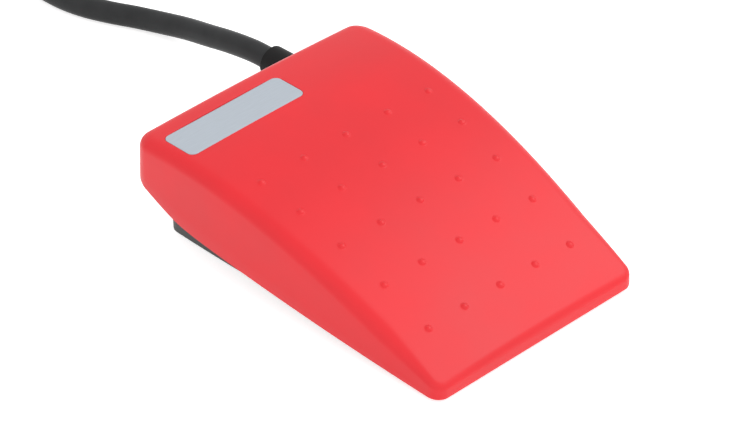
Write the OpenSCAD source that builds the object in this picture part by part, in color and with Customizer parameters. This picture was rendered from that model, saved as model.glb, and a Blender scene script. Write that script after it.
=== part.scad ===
// Foot switch: a wedge-shaped treadle cover hinged at the front of a low base, two return
// springs, a miniature snap switch in the middle and a lead that leaves at the rear.
// Lengths are millimetres. Y runs from the front lip to the rear wall, Z is up from the floor.

/* [Treadle cover] */
// Length of the cover from the front lip to the rear wall
cover_l = 112; // [108:1:116]
// Width of the cover across its front corners
cover_front_w = 73.2; // [70:0.2:78]
// Width of the cover across its rear corners
cover_rear_w = 85.2; // [82:0.2:90]
// How far each side bows outward halfway along
cover_side_bow = 1.5; // [0:0.1:3]
// Thickness of the cover's walls
cover_wall = 2.2; // [1.8:0.1:2.6]
// Height of the top face at the front lip
cover_front_h = 5.3; // [5:0.1:6]
// Height of the top face at the rear wall
cover_rear_h = 31.3; // [30:0.1:34]
// Slope of the top face at the front lip, in degrees
cover_front_slope = 26.6; // [25:0.1:28]
// Fall of the top face at the rear wall, in degrees
cover_rear_fall = 8.4; // [4:0.1:10]
// How much lower the top face is at its sides than in the middle
cover_crown = 1; // [0.4:0.1:1.6]
// Plan radius of the front corners
front_corner_r = 3.8; // [3.4:0.1:5]
// Plan radius of the rear corners
rear_corner_r = 5.8; // [5.2:0.1:7]
// Radius of the edge between the top and the side walls
side_edge_r = 4.2; // [3:0.1:4.6]
// Radius of the edge between the top and the front wall
front_edge_r = 1.8; // [1.2:0.1:2.4]
// Radius of the edge between the top and the rear wall
rear_edge_r = 3; // [2:0.1:3.6]
// Draft of the walls, in degrees
cover_draft = 1.6; // [0.5:0.1:2.5]
// Height of the skirt's lower edge over the floor at the front lip
lip_clear = 0.7; // [0.5:0.1:1.2]
// Rise of the skirt's lower edge towards the rear, in degrees
skirt_rise = 6; // [5:0.1:7]
// Length at the rear over which the skirt is cut higher
rear_cut_l = 18.5; // [14:0.5:22]
// Further rise of the skirt's edge over that length, in degrees
rear_cut_rise = 19; // [14:0.5:22]

/* [Grip dots] */
// Number of rows of dots
dot_rows = 5; // [3:1:5]
// Number of dots in a row
dot_columns = 5; // [3:2:5]
// Distance of the first row from the front lip
dot_front = 14.2; // [12:0.1:18]
// Distance between the first two rows
dot_row_pitch = 15.1; // [12:0.1:15.5]
// How much each next row is closer than the one before
dot_row_shrink = 0.4; // [0:0.05:0.6]
// Distance between the dots of a row at the front lip
dot_pitch = 12.5; // [10:0.1:12.8]
// Radius of a dot at the surface
dot_r = 1.1; // [0.8:0.1:1.4]
// Height of a dot over the surface
dot_h = 0.5; // [0.3:0.1:0.7]

/* [Label plate] */
// Length of the label plate across the cover
label_l = 41; // [30:0.5:43]
// Width of the label plate
label_w = 11.9; // [8:0.1:13]
// Thickness of the label plate
label_t = 0.5; // [0.3:0.1:0.7]
// Corner radius of the label plate
label_corner_r = 2; // [0.5:0.1:3]
// Distance from the label plate's middle to the rear wall of the cover
label_rear = 14.2; // [13:0.1:18]
// Distance from the label plate's outer end to the cover's side
label_side = 4.54; // [4:0.02:8]

/* [Hinge and springs] */
// Distance of the hinge line behind the front lip
hinge_back = 14; // [13.6:0.1:15]
// Height of the hinge line
hinge_h = 5.6; // [5.4:0.1:5.8]
// Diameter of a hinge pin
pin_d = 3; // [2.5:0.1:3.2]
// Outer radius of the knuckles and ears round the pins
knuckle_r = 2.9; // [2.6:0.1:3]
// Width of a knuckle on the cover
knuckle_w = 5.8; // [5:0.1:7]
// Width of an ear on the base
ear_w = 2.6; // [2:0.1:3.2]
// Distance of each knuckle's middle from the middle line
knuckle_x = 24; // [22:0.5:25]
// How far the cover turns when it is pressed, in degrees
press_angle = 4; // [3:0.1:4.2]
// Distance of the return springs before the cover's rear wall
spring_rear = 36; // [32:0.5:40]
// Distance of each return spring from the middle line
spring_x = 24; // [22:0.5:26]
// Outer diameter of a return spring
spring_d = 8.4; // [7.6:0.1:9]
// Diameter of the spring wire
spring_wire_d = 0.9; // [0.7:0.05:1]
// Number of curls in a spring
spring_turns = 8; // [6:1:9]

/* [Base] */
// Distance from the skirt's outside to the base's side walls
base_side_in = 6.2; // [5.8:0.1:6.6]
// Distance from the cover's rear wall to the base's rear wall
base_rear_in = 7.5; // [7:0.1:8]
// Distance from the front lip to the base's front wall
base_front_in = 7; // [6.8:0.1:7.6]
// Thickness of the base's walls
base_wall = 2.2; // [1.8:0.1:2.4]
// Thickness of the base's floor
base_floor = 2; // [1.8:0.1:2.2]
// Greatest height of the base's walls over the floor it stands on
base_rim_h = 20; // [19:0.5:20.5]
// Plan radius of the base's corners
base_corner_r = 3.6; // [3:0.1:4.5]
// How far the side walls lean outward from bottom to rim
base_flare = 0.8; // [0.2:0.1:1]
// Diameter of a rubber foot
foot_d = 9; // [7:0.5:10]
// Thickness of a rubber foot
foot_t = 2; // [1.7:0.1:2.2]
// How far a foot stands out below the base
foot_out = 1; // [0.8:0.1:1.2]

/* [Snap switch] */
// Length of the switch case
switch_l = 19.8; // [19.4:0.1:20.2]
// Thickness of the switch case with its lid
switch_w = 6.4; // [6.2:0.1:6.6]
// Height of the switch case
switch_h = 10.2; // [10:0.1:10.4]
// Place of the switch's middle, as a share of the way from the hinge line to the rear wall
switch_share = 0.44898; // [0.44:0.00001:0.46]
// Height of the case's underside over the floor of the base
switch_lift = 5.4; // [5.2:0.1:5.6]
// Distance between the two mounting screws
switch_hole_pitch = 9.5; // [9.3:0.1:9.7]
// Diameter of a mounting screw's shank
switch_screw_d = 2; // [1.8:0.1:2.2]

/* [Lead] */
// Outer diameter of the sheath
cable_d = 6.6; // [6:0.1:6.8]
// Distance of the lead's axis inside the cover's side at the rear wall
cable_side = 14.1; // [14:0.1:14.6]
// Height of the lead's axis where it leaves the base
cable_h = 12; // [11.6:0.1:12.4]
// How far the strain relief stands out behind the base's rear wall
relief_l = 28.5; // [24:0.5:32]
// Diameter of the strain relief at its outer end
relief_end_d = 9.2; // [8.6:0.1:9.6]
// Diameter of the strain relief at the base
relief_root_d = 11; // [10:0.1:11.4]
// Diameter of an insulated core
core_d = 2.2; // [1.8:0.1:2.4]
// Length of the sheath from the base's rear wall to its inner end
sheath_in_l = 13; // [12:0.5:14]
// Spacing of the coil's turns, side by side and layer over layer
coil_pitch = 7.05; // [7.05:0.05:7.4]
// Radius of the coil's innermost turn
coil_inner_r = 27.2; // [26.5:0.1:28]
// Turns that each of the coil's two layers winds
coil_layer_turns = 3.5; // [2.5:1:3.5]
// Thickness of a coil tie
tie_t = 1; // [0.8:0.1:1.2]
// Width of a coil tie
tie_w = 4; // [3:0.5:6]

/* [Hidden] */
$fn = 48;

// Shared values
cut_over = 1;            // overrun of every cut
slide_gap = 0.05;        // radial clearance of running fits
seat_gap = 0.1;          // clearance of pieces that drop into place
touch_gap = 0.3;         // clearance before pieces that meet in use
half_turn = 180;
full_turn = 360;

// Cover
front_half = cover_front_w / 2;
rear_half = cover_rear_w / 2;
rear_cut_blend = 5;      // length over which the skirt's two slopes run together
edge_run = 20;           // length over which the side edge grows to its full radius
inner_edge_r = 1;        // radius inside the top edges
inner_corner_r = 2.2;    // least plan radius inside the corners
dot_fan_share = 0.039;   // growth of the dots' spacing along the cover
dot_root = 1;            // how deep a dot is rooted in the wall
rib_t = 1.6;             // thickness of the cover's ribs
rib_drop = 3.2;          // how far a rib hangs below the wall
rib_shares = [0.34, 0.8]; // places of the long ribs, as shares of the half width
rib_front_gap = 18;      // from the front lip to the inner ribs' front ends
rib_side_gap = 34;       // from the front lip to the outer ribs, clear of the base's narrow front
rib_rear_gap = 14.5;     // from the rear wall to the ribs' rear ends
rib_step = 8;            // spacing of the points along a rib's edge
root_share = 0.55;       // depth to which inner pieces root in the wall, as a share of it
rib_x = rib_shares[0] * half_at(rib_front_gap);
rib_side_x = rib_shares[1] * half_at(rib_front_gap);
stop_rear = 22;          // from the rear wall to the stops that meet the ribs at full press
stop_back = cover_l - stop_rear;
stop_d = 5.6;

// Base levels and planes
base_z0 = foot_out;
floor_z = base_z0 + base_floor;
base_front_y = base_front_in;
base_rear_y = cover_l - base_rear_in;
base_edge = 0.8;         // rounding of the base's lower edge
rim_clear = 1;           // clearance over the rim when the cover is pressed
rear_room_y = base_rear_y - base_wall;

// Hinge
pin_r = pin_d / 2;
hinge_side_gap = 0.3;
pin_l = knuckle_w + 2 * (hinge_side_gap + ear_w);
ear_x = knuckle_w / 2 + hinge_side_gap;
pin_chamfer = 0.4;

// Springs
spring_back = cover_l - spring_rear;
spring_r = (spring_d - spring_wire_d) / 2;
spigot_d = spring_d - 2 * spring_wire_d - 0.6 * spring_wire_d;
spigot_h = 4;
spring_cup_d = spring_d + 2.6;
spring_cup_drop = 2;     // how far the cover's spring seat hangs below the wall
spring_end_pitch = spring_wire_d * 1.6;

// Snap hooks that stop the cover's upward travel
hook_side = 15;          // from the lead's axis to the hook's middle
hook_x = rear_half - cable_side - hook_side;
hook_w = 7;
hook_t = 1.8;
hook_gap = 1.6;          // from the hook's arm to the base's rear wall
hook_bite = 1.7;         // how far a hook's nose reaches into its window
hook_nose_h = 2.6;
hook_top_z = 14.5;       // top of the nose, and of its window less the play

// Snap switch
case_z0 = floor_z + switch_lift;
case_z1 = case_z0 + switch_h;
switch_back = hinge_back + (cover_l - hinge_back) * switch_share;
case_y0 = switch_back - switch_l / 2;
case_y1 = case_y0 + switch_l;
lid_t = 1.2;
case_wall = 1.2;
screw_head_d = 3.8;
screw_head_h = 1.3;
screw_hole_up = 2.6;     // of the mounting screws over the case's underside
screw_hole_z = case_z0 + screw_hole_up;
screw_boss_d = 4.2;
lever_pivot_in = 2.4;    // of the lever's pin behind the case's front end
lever_pivot_up = 1;      // of the lever's pin over the case
lever_pivot_y = case_y0 + lever_pivot_in;
lever_pivot_z = case_z1 + lever_pivot_up;
lever_pin_d = 0.8;
lever_barrel_d = 1.7;
lever_t = 0.4;
lever_w = 4;
lever_l = 15.2;
lever_rise = 17.5;       // slope of the lever at rest, in degrees
lever_lug_t = 0.9;
plunger_reach = 4.5;     // from the lever's pin to the plunger
plunger_y = lever_pivot_y + plunger_reach;
plunger_d = 1.8;
plunger_flange_d = 2.8;
plunger_flange_h = 0.4;
actuator_reach = 13.5;   // from the lever's pin to where the cover presses it
actuator_y = lever_pivot_y + actuator_reach;
actuator_t = 2.4;
actuator_w = 6;
mount_t = 3;             // thickness of the plate that carries the switch
mount_l = 15;
terminal_w = 3.2;
terminal_t = 0.5;
terminal_drop = 3.8;     // how far the terminals stand out below the case
terminal_inset = 2.2;    // from the case's ends to the outer terminals
terminal_mid = 1.4;      // from the case's middle to the middle terminal
blade_t = 0.2;
blade_w = 3.2;
blade_down = 2.8;        // of the moving blade under the case's top
blade_z = case_z1 - blade_down;
contact_d = 2;
contact_h = 0.5;
contact_gap = 0.9;       // travel of the moving contact
contact_in = 15;         // of the contacts behind the case's front end
contact_y = case_y0 + contact_in;

// Lead inside the base
cable_x = rear_half - cable_side;
cable_r = cable_d / 2;
relief_flange_d = 12;
relief_flange_t = 2;
relief_inner_d = 11.2;
relief_neck_d = 9;
relief_end_edge = 0.8;
sheath_end_y = rear_room_y - sheath_in_l;
sheath_out_l = 3;        // length of sheath that stands out of the clamp
clamp_y = sheath_end_y + sheath_out_l;
clamp_l = 6;
clamp_screw_x = 6.6;     // from the lead's axis to the clamp's screw
clamp_post_d = 4.4;
clamp_screw_d = 2;
clamp_bar_t = 2.4;
clamp_side_t = 1.3;       // least wall beside the sheath in saddle and clamp
clamp_squeeze = 0.05;    // clearance of the clamp round the sheath
skirt_notch_gap = 1;     // clearance of the skirt's notch round the strain relief
core_spread = core_d * 0.6;

// Feet
foot_front_back = 28;    // of the front feet behind the front lip
foot_rear_gap = 9.5;     // of the rear feet before the base's rear wall
foot_side_gap = 9.5;     // of the feet inside the base's side walls

// Route of the free cable, from the strain relief towards the coil
cable_points = [[cable_x, base_rear_y + relief_l - cover_l / 2, cable_h], [cable_x, 84, 11.7],
    [cable_x, 94, 10], [cable_x, 103, 7.9], [cable_x, 113, 5.6], [27, 122, 4], [24, 130.5, 3.4], [20.5, 137.5, 3.3], [17, 146, 3.3],
    [15.2, 155, 3.3], [15.4, 164, 3.3], [18.2, 173.5, 3.4], [23.5, 182.5, 3.6], [30, 191.5, 3.9]];
// Coil
coil_centre = [8, 250];
coil_start = -34;        // angle at which the cable enters the coil
coil_steps = 24;         // rings in a turn
coil_dip = 1.3;          // how far the climbing half turn draws inward
tube_sides = 10;
coil_sides = 6;
tail_l = 36;             // length of the bare cores at the free end
tin_l = 7;               // length of the tinned ends
tin_d = 1.1;

// Small helpers
function lerp(a, b, t) = a + (b - a) * t;
function clamp01(t) = max(0, min(1, t));
function unit(v) = v / norm(v);
function rev(v) = [for (i = [len(v) - 1:-1:0]) v[i]];

// Top face along the middle line: a cubic with given heights and slopes at its two ends
function top_z(y) = let (t = y / cover_l)
    cover_front_h * (2 * t^3 - 3 * t^2 + 1) + cover_rear_h * (3 * t^2 - 2 * t^3)
    + cover_l * tan(cover_front_slope) * (t^3 - 2 * t^2 + t)
    - cover_l * tan(cover_rear_fall) * (t^3 - t^2);
function top_slope(y) = let (t = y / cover_l)
    (cover_rear_h - cover_front_h) / cover_l * (6 * t - 6 * t^2)
    + tan(cover_front_slope) * (3 * t^2 - 4 * t + 1)
    - tan(cover_rear_fall) * (3 * t^2 - 2 * t);
function crown_at(x) = cover_crown * (x / rear_half)^2;
function surface_z(x, y) = top_z(y) - crown_at(x);
function wall_drop(y) = cover_wall * sqrt(1 + top_slope(y)^2);
function under_z(x, y) = surface_z(x, y) - wall_drop(y);

// Lower edge of the skirt: two slopes that run together smoothly
function run_in(d) = (d + sqrt(d^2 + rear_cut_blend^2)) / 2;
function skirt_z(y) = lip_clear + y * tan(skirt_rise)
    + tan(rear_cut_rise) * run_in(y - (cover_l - rear_cut_l));

// How far a point at distance y sinks when the cover is pressed
function press_drop(y) = max(0, y - hinge_back) * tan(press_angle);
function rim_z(y) = min(base_rim_h,
    under_z(front_half, y) - press_drop(y) - rim_clear);

// Straight-sided half width of the cover at y
function half_at(y) = lerp(front_half, rear_half, y / cover_l);

// Right half of a plan outline with bowed sides, as [x, y, normal x, normal y], front to rear
function half_plan(y0, y1, h0, h1, r0, r1, bow, edge_n, arc_n, side_n) =
    let (a = atan((h1 - h0) / (y1 - y0)),
        c0 = [h0 + r0 * tan(a) - r0 / cos(a), y0 + r0],
        c1 = [h1 - r1 * tan(a) - r1 / cos(a), y1 - r1],
        n = [cos(a), -sin(a)],
        raw = concat(
            [for (i = [0:edge_n - 1]) [c0.x * i / edge_n, y0, 0, -1]],
            [for (i = [0:arc_n]) let (t = lerp(-90, -a, i / arc_n))
                [c0.x + r0 * cos(t), c0.y + r0 * sin(t), cos(t), sin(t)]],
            [for (i = [1:side_n - 1]) let (p = lerp(c0 + r0 * n, c1 + r1 * n, i / side_n))
                [p.x, p.y, n.x, n.y]],
            [for (i = [0:arc_n]) let (t = lerp(-a, 90, i / arc_n))
                [c1.x + r1 * cos(t), c1.y + r1 * sin(t), cos(t), sin(t)]],
            [for (i = [1:edge_n]) [c1.x * (1 - i / edge_n), y1, 0, 1]]))
    [for (p = raw) let (t = (p.y - y0) / (y1 - y0), h = lerp(h0, h1, t))
        [p.x * (1 + bow * 4 * t * (1 - t) / h), p.y, p[2], p[3]]];
function whole_plan(half) = concat(half,
    [for (i = [len(half) - 2:-1:1]) [-half[i].x, half[i].y, -half[i][2], half[i][3]]]);
function moved_in(p, d) = [p.x - p[2] * d, p.y - p[3] * d];

// Closed skin over rings of equal length, with a fan to one point at each end
module skin(rings, first, last) {
    n = len(rings[0]);
    m = len(rings);
    points = concat([for (r = rings) each r], [first, last]);
    faces = concat(
        [for (i = [0:n - 1]) [m * n, (i + 1) % n, i]],
        [for (k = [0:m - 2], i = [0:n - 1]) let (j = (i + 1) % n)
            each [[k * n + i, k * n + j, k * n + n + j], [k * n + i, k * n + n + j, k * n + n + i]]],
        [for (i = [0:n - 1]) [m * n + 1, (m - 1) * n + i, (m - 1) * n + (i + 1) % n]]);
    polyhedron(points, faces, convexity = 8);
}

// Round tube of the given sides along a list of points
function ring_at(p, t, r, sides) = let (n = unit(cross(t, [0, 0, 1])), b = cross(n, t))
    [for (i = [0:sides - 1]) let (a = full_turn * i / sides)
        p + r * (cos(a) * n + sin(a) * b)];
function tangent_at(pts, i) = unit(pts[min(i + 1, len(pts) - 1)] - pts[max(i - 1, 0)]);
module tube(pts, r, sides) {
    rings = [for (i = [0:len(pts) - 1]) ring_at(pts[i], tangent_at(pts, i), r, sides)];
    skin(rings, pts[0], pts[len(pts) - 1]);
}
function path_l(pts) = len(pts) < 2 ? 0
    : [for (i = 1, s = norm(pts[1] - pts[0]); i < len(pts);
        i = i + 1, s = s + (i < len(pts) ? norm(pts[i] - pts[i - 1]) : 0)) s][len(pts) - 2];

// Smooth curve through hand-picked points, with the given steps between each two
function spline_point(a, b, c, d, t) =
    0.5 * (2 * b + (c - a) * t + (2 * a - 5 * b + 4 * c - d) * t^2
        + (3 * b - a - 3 * c + d) * t^3);
function spline(pts, steps) = let (n = len(pts) - 1) concat(
    [for (i = [0:n - 1], k = [0:steps - 1])
        spline_point(pts[max(i - 1, 0)], pts[i], pts[i + 1], pts[min(i + 2, n)], k / steps)],
    [pts[n]]);

// The model's Y origin is halfway along the cover
module seat() { translate([0, -cover_l / 2, 0]) children(); }
module along_x(x0, x1, r) { translate([x0, 0, 0]) rotate([0, 90, 0]) cylinder(h = x1 - x0, r = r); }
module along_y(y0, y1, r) { translate([0, y0, 0]) rotate([-90, 0, 0]) cylinder(h = y1 - y0, r = r); }
module block(lo, hi) { translate(lo) cube(hi - lo); }
module both_sides() { for (s = [-1, 1]) scale([s, 1, 1]) children(); }
module mirrored() { children(); mirror([1, 0, 0]) children(); }

// Treadle cover
cover_plan = whole_plan(half_plan(0, cover_l, front_half, rear_half, front_corner_r,
    rear_corner_r, cover_side_bow, 4, 5, 12));
inner_plan = whole_plan(half_plan(cover_wall, cover_l - cover_wall,
    half_at(cover_wall) - cover_wall, half_at(cover_l - cover_wall) - cover_wall,
    max(front_corner_r - cover_wall, inner_corner_r), max(rear_corner_r - cover_wall, inner_corner_r),
    cover_side_bow, 4, 5, 12));
cap_shares = [0.86, 0.72, 0.57, 0.42, 0.27, 0.13];
edge_angles = [0, 22.5, 45, 67.5, 90];
inner_edge_angles = [0, 45, 90];
cap_middle = [0, cover_l / 2];
draft_run = tan(cover_draft);

function edge_r_at(p) = p[2]^2 * lerp(front_edge_r, side_edge_r, clamp01(p.y / edge_run))
    + p[3]^2 * (p[3] < 0 ? front_edge_r : rear_edge_r);
function edge_point(p, depth, r, a) =
    let (z0 = top_z(p.y) - depth - r, q = moved_in(p, (z0 - lip_clear) * draft_run + r * (1 - cos(a))))
    [q.x, q.y, top_z(q.y) - depth - r * (1 - sin(a)) - crown_at(q.x) * sin(a)];
function cap_point(p, depth, share) = let (q = lerp(cap_middle, [p.x, p.y], share))
    [q.x, q.y, surface_z(q.x, q.y) - depth];
function skirt_point(p) = let (z = skirt_z(p.y), q = moved_in(p, (z - lip_clear) * draft_run))
    [q.x, q.y, z];

module cover_shell() {
    outer_top = [for (p = cover_plan) edge_point(p, 0, edge_r_at(p), 90)];
    inner_top = [for (p = inner_plan) edge_point(p, wall_drop(p.y), inner_edge_r, 90)];
    rings = concat(
        [for (s = rev(cap_shares)) [for (p = outer_top) cap_point(p, 0, s)]],
        [for (a = rev(edge_angles)) [for (p = cover_plan) edge_point(p, 0, edge_r_at(p), a)]],
        [[for (p = cover_plan) skirt_point(p)], [for (p = inner_plan) skirt_point(p)]],
        [for (a = inner_edge_angles)
            [for (p = inner_plan) edge_point(p, wall_drop(p.y), inner_edge_r, a)]],
        [for (s = cap_shares) [for (p = inner_top) let (q = lerp(cap_middle, [p.x, p.y], s))
            [q.x, q.y, under_z(q.x, q.y)]]]);
    skin(rings, [cap_middle.x, cap_middle.y, surface_z(0, cap_middle.y)],
        [cap_middle.x, cap_middle.y, under_z(0, cap_middle.y)]);
}

// Upright web under the cover, from y0 to y1 at x, whose lower edge is given by z0
module web(x, t, y0, y1, z0) {
    n = max(1, ceil((y1 - y0) / rib_step));
    top = [for (i = [0:n]) let (y = lerp(y0, y1, i / n))
        [y, under_z(x, y) + cover_wall * root_share]];
    translate([x - t / 2, 0, 0]) rotate([90, 0, 90]) linear_extrude(t)
        polygon(concat([[y0, z0], [y1, z0]], rev(top)));
}

// Long rib that follows the underside of the top
module long_rib(x, y0) {
    y1 = cover_l - rib_rear_gap;
    n = ceil((y1 - y0) / rib_step);
    ys = [for (i = [0:n]) lerp(y0, y1, i / n)];
    translate([x - rib_t / 2, 0, 0]) rotate([90, 0, 90]) linear_extrude(rib_t)
        polygon(concat([for (y = ys) [y, under_z(x, y) - rib_drop]],
            rev([for (y = ys) [y, under_z(x, y) + cover_wall * root_share]])));
}

module dot_at(x, y) {
    ball_r = (dot_r^2 + dot_h^2) / (2 * dot_h);
    translate([x, y, surface_z(x, y)]) rotate([atan(top_slope(y)), 0, 0]) rotate_extrude()
        intersection() {
            translate([0, dot_h - ball_r]) circle(ball_r);
            translate([0, -dot_root]) square([dot_r, dot_root + dot_h]);
        }
}
function dot_y(i) = dot_front + i * dot_row_pitch - dot_row_shrink * i * (i - 1) / 2;
module dots() {
    for (i = [0:dot_rows - 1], k = [0:dot_columns - 1])
        dot_at((k - (dot_columns - 1) / 2) * (dot_pitch + dot_fan_share * dot_y(i)), dot_y(i));
}

// Frame of the label's seat: flat, and level with the cover at both of its ends
label_y = cover_l - label_rear;
label_x0 = label_side - half_at(label_y);
label_x1 = label_x0 + label_l;
label_z = (surface_z(label_x0, label_y) + surface_z(label_x1, label_y)) / 2;
label_roll = atan((surface_z(label_x1, label_y) - surface_z(label_x0, label_y)) / label_l);
module on_label() {
    translate([(label_x0 + label_x1) / 2, label_y, label_z])
        rotate([atan(top_slope(label_y)), -label_roll, 0]) children();
}
module rounded_rect(l, w, r) {
    square([l - 2 * r, w], center = true);
    square([l, w - 2 * r], center = true);
    for (sx = [-1, 1], sy = [-1, 1])
        translate([sx * (l / 2 - r), sy * (w / 2 - r)]) circle(r);
}

spring_seat_z = under_z(spring_x, spring_back) - spring_cup_drop;
module spring_seats() {
    mirrored() translate([spring_x, spring_back, 0]) {
        translate([0, 0, spring_seat_z])
            cylinder(h = spring_cup_drop + cover_wall * root_share, d = spring_cup_d);
        translate([0, 0, spring_seat_z - spigot_h]) cylinder(h = spigot_h + cut_over, d = spigot_d);
    }
}

// Height of the lever's middle plane at y, at rest
function lever_z(y) = lever_pivot_z + (y - lever_pivot_y) * tan(lever_rise);
actuator_z = lever_z(actuator_y) + (lever_t / 2 + touch_gap + actuator_t / 2) / cos(lever_rise);
module actuator() {
    web(0, actuator_w, actuator_y - actuator_t / 2, actuator_y + actuator_t / 2, actuator_z);
    translate([0, actuator_y, actuator_z])
        along_x(-actuator_w / 2, actuator_w / 2, actuator_t / 2);
}

hook_y1 = rear_room_y - hook_gap;
hook_y0 = hook_y1 - hook_t;
module hook() {
    z0 = hook_top_z - hook_nose_h;
    web(hook_x, hook_w, hook_y0, hook_y1, z0);
    translate([hook_x - hook_w / 2, 0, 0]) rotate([90, 0, 90]) linear_extrude(hook_w)
        polygon([[hook_y1 - hook_t / 2, z0], [hook_y1, z0], [hook_y1 + hook_gap + hook_bite, hook_top_z - hook_t / 2],
            [hook_y1 + hook_gap + hook_bite, hook_top_z], [hook_y1 - hook_t / 2, hook_top_z]]);
}

module knuckle() {
    translate([0, hinge_back, hinge_h])
        along_x(knuckle_x - knuckle_w / 2, knuckle_x + knuckle_w / 2, knuckle_r);
    web(knuckle_x, knuckle_w, hinge_back - knuckle_r, hinge_back + knuckle_r, hinge_h);
}

relief_half_d = lerp(relief_root_d, relief_end_d, base_rear_in / relief_l);
module skirt_notch() {
    r = relief_half_d / 2 + skirt_notch_gap;
    top = cable_h + press_drop(cover_l);
    translate([cable_x, 0, top]) along_y(cover_l - cover_wall * 2 - draft_run * cover_rear_h, cover_l + cut_over, r);
    block([cable_x - r, cover_l - cover_wall * 2 - draft_run * cover_rear_h, 0],
        [cable_x + r, cover_l + cut_over, top]);
}

module pedal_cover() {
    color([0.95, 0.24, 0.28]) seat() difference() {
        union() {
            cover_shell();
            dots();
            mirrored() { knuckle(); hook(); }
            mirrored() {
                long_rib(rib_x, rib_front_gap);
                long_rib(rib_side_x, rib_side_gap);
            }
            spring_seats();
            actuator();
        }
        translate([0, hinge_back, hinge_h])
            along_x(-knuckle_x - knuckle_w, knuckle_x + knuckle_w, pin_r + slide_gap);
        on_label() translate([0, 0, -label_t]) linear_extrude(label_t + cut_over)
            rounded_rect(label_l + 2 * seat_gap, label_w + 2 * seat_gap, label_corner_r + seat_gap);
        skirt_notch();
    }
}

module label_plate() {
    color([0.71, 0.75, 0.79]) seat() on_label() translate([0, 0, -label_t])
        linear_extrude(label_t) rounded_rect(label_l, label_w, label_corner_r);
}

// Base housing
function base_half(y, inset) = half_at(y) - inset;
base_half_front = base_half(base_front_y, base_side_in);
base_half_rear = base_half(base_rear_y, base_side_in);
base_plan = whole_plan(half_plan(base_front_y, base_rear_y, base_half_front, base_half_rear,
    base_corner_r, base_corner_r, cover_side_bow, 4, 5, 12));
room_plan = whole_plan(half_plan(base_front_y + base_wall, rear_room_y,
    base_half(base_front_y + base_wall, base_side_in + base_wall),
    base_half(rear_room_y, base_side_in + base_wall),
    base_corner_r - base_wall, base_corner_r - base_wall, cover_side_bow, 4, 5, 12));
function flared(p, z) = let (out = base_flare * p[2]^2 * (z - base_z0) / (base_rim_h - base_z0))
    [p.x + p[2] * out, p.y, z];
module base_tray() {
    bottom = [for (p = base_plan) let (q = moved_in(p, base_edge)) [q.x, q.y, base_z0]];
    middle = [0, (base_front_y + base_rear_y) / 2];
    skin([[for (p = room_plan) flared(p, floor_z)], [for (p = room_plan) flared(p, rim_z(p.y))],
        [for (p = base_plan) flared(p, rim_z(p.y))], [for (p = base_plan) flared(p, base_z0 + base_edge)],
        bottom], [middle.x, middle.y, floor_z], [middle.x, middle.y, base_z0]);
}

module ear_pair() {
    for (side = [0, 1]) {
        x0 = side == 0 ? knuckle_x - ear_x - ear_w : knuckle_x + ear_x;
        translate([0, hinge_back, hinge_h]) along_x(x0, x0 + ear_w, knuckle_r);
        block([x0, hinge_back - knuckle_r, floor_z - base_floor / 2],
            [x0 + ear_w, hinge_back + knuckle_r, hinge_h]);
    }
}

hook_room = press_drop(hook_y1) + touch_gap;
module hook_window() {
    block([hook_x - hook_w / 2 - seat_gap, rear_room_y - cut_over, hook_top_z - hook_nose_h - hook_room],
        [hook_x + hook_w / 2 + seat_gap, base_rear_y + cut_over, hook_top_z + touch_gap]);
}

module relief_slot() {
    translate([cable_x, 0, cable_h]) along_y(rear_room_y - cut_over, base_rear_y + cut_over,
        relief_neck_d / 2 + seat_gap);
    block([cable_x - relief_neck_d / 2 - seat_gap, rear_room_y - cut_over, cable_h],
        [cable_x + relief_neck_d / 2 + seat_gap, base_rear_y + cut_over, base_rim_h + cut_over]);
}

mount_x = switch_w / 2;
mount_y0 = switch_back - mount_l / 2;
module switch_mount() {
    block([mount_x, mount_y0, floor_z - base_floor / 2], [mount_x + mount_t, mount_y0 + mount_l, case_z1]);
    for (side = [0, 1]) {
        y = mount_y0 + side * (mount_l - mount_t);
        block([mount_x, y, floor_z - base_floor / 2], [mount_x + 3 * mount_t, y + mount_t, case_z0]);
    }
}

module stop_post() {
    top = under_z(rib_x, stop_back) - rib_drop - press_drop(stop_back) - touch_gap;
    translate([rib_x, stop_back, floor_z - base_floor / 2])
        cylinder(h = top - floor_z + base_floor / 2, d = stop_d);
}

saddle_half = cable_r + clamp_side_t;
clamp_post_x = cable_x - clamp_screw_x;
module cable_saddle() {
    block([cable_x - saddle_half, clamp_y, floor_z - base_floor / 2],
        [cable_x + saddle_half, clamp_y + clamp_l, cable_h - touch_gap]);
    translate([clamp_post_x, clamp_y + clamp_l / 2, floor_z - base_floor / 2])
        cylinder(h = cable_h - touch_gap - floor_z + base_floor / 2, d = clamp_post_d);
}

function foot_places() = [for (side = [-1, 1], rear = [0, 1])
    let (y = rear == 0 ? foot_front_back : base_rear_y - foot_rear_gap)
    [side * (base_half(y, base_side_in) - foot_side_gap), y]];

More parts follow.
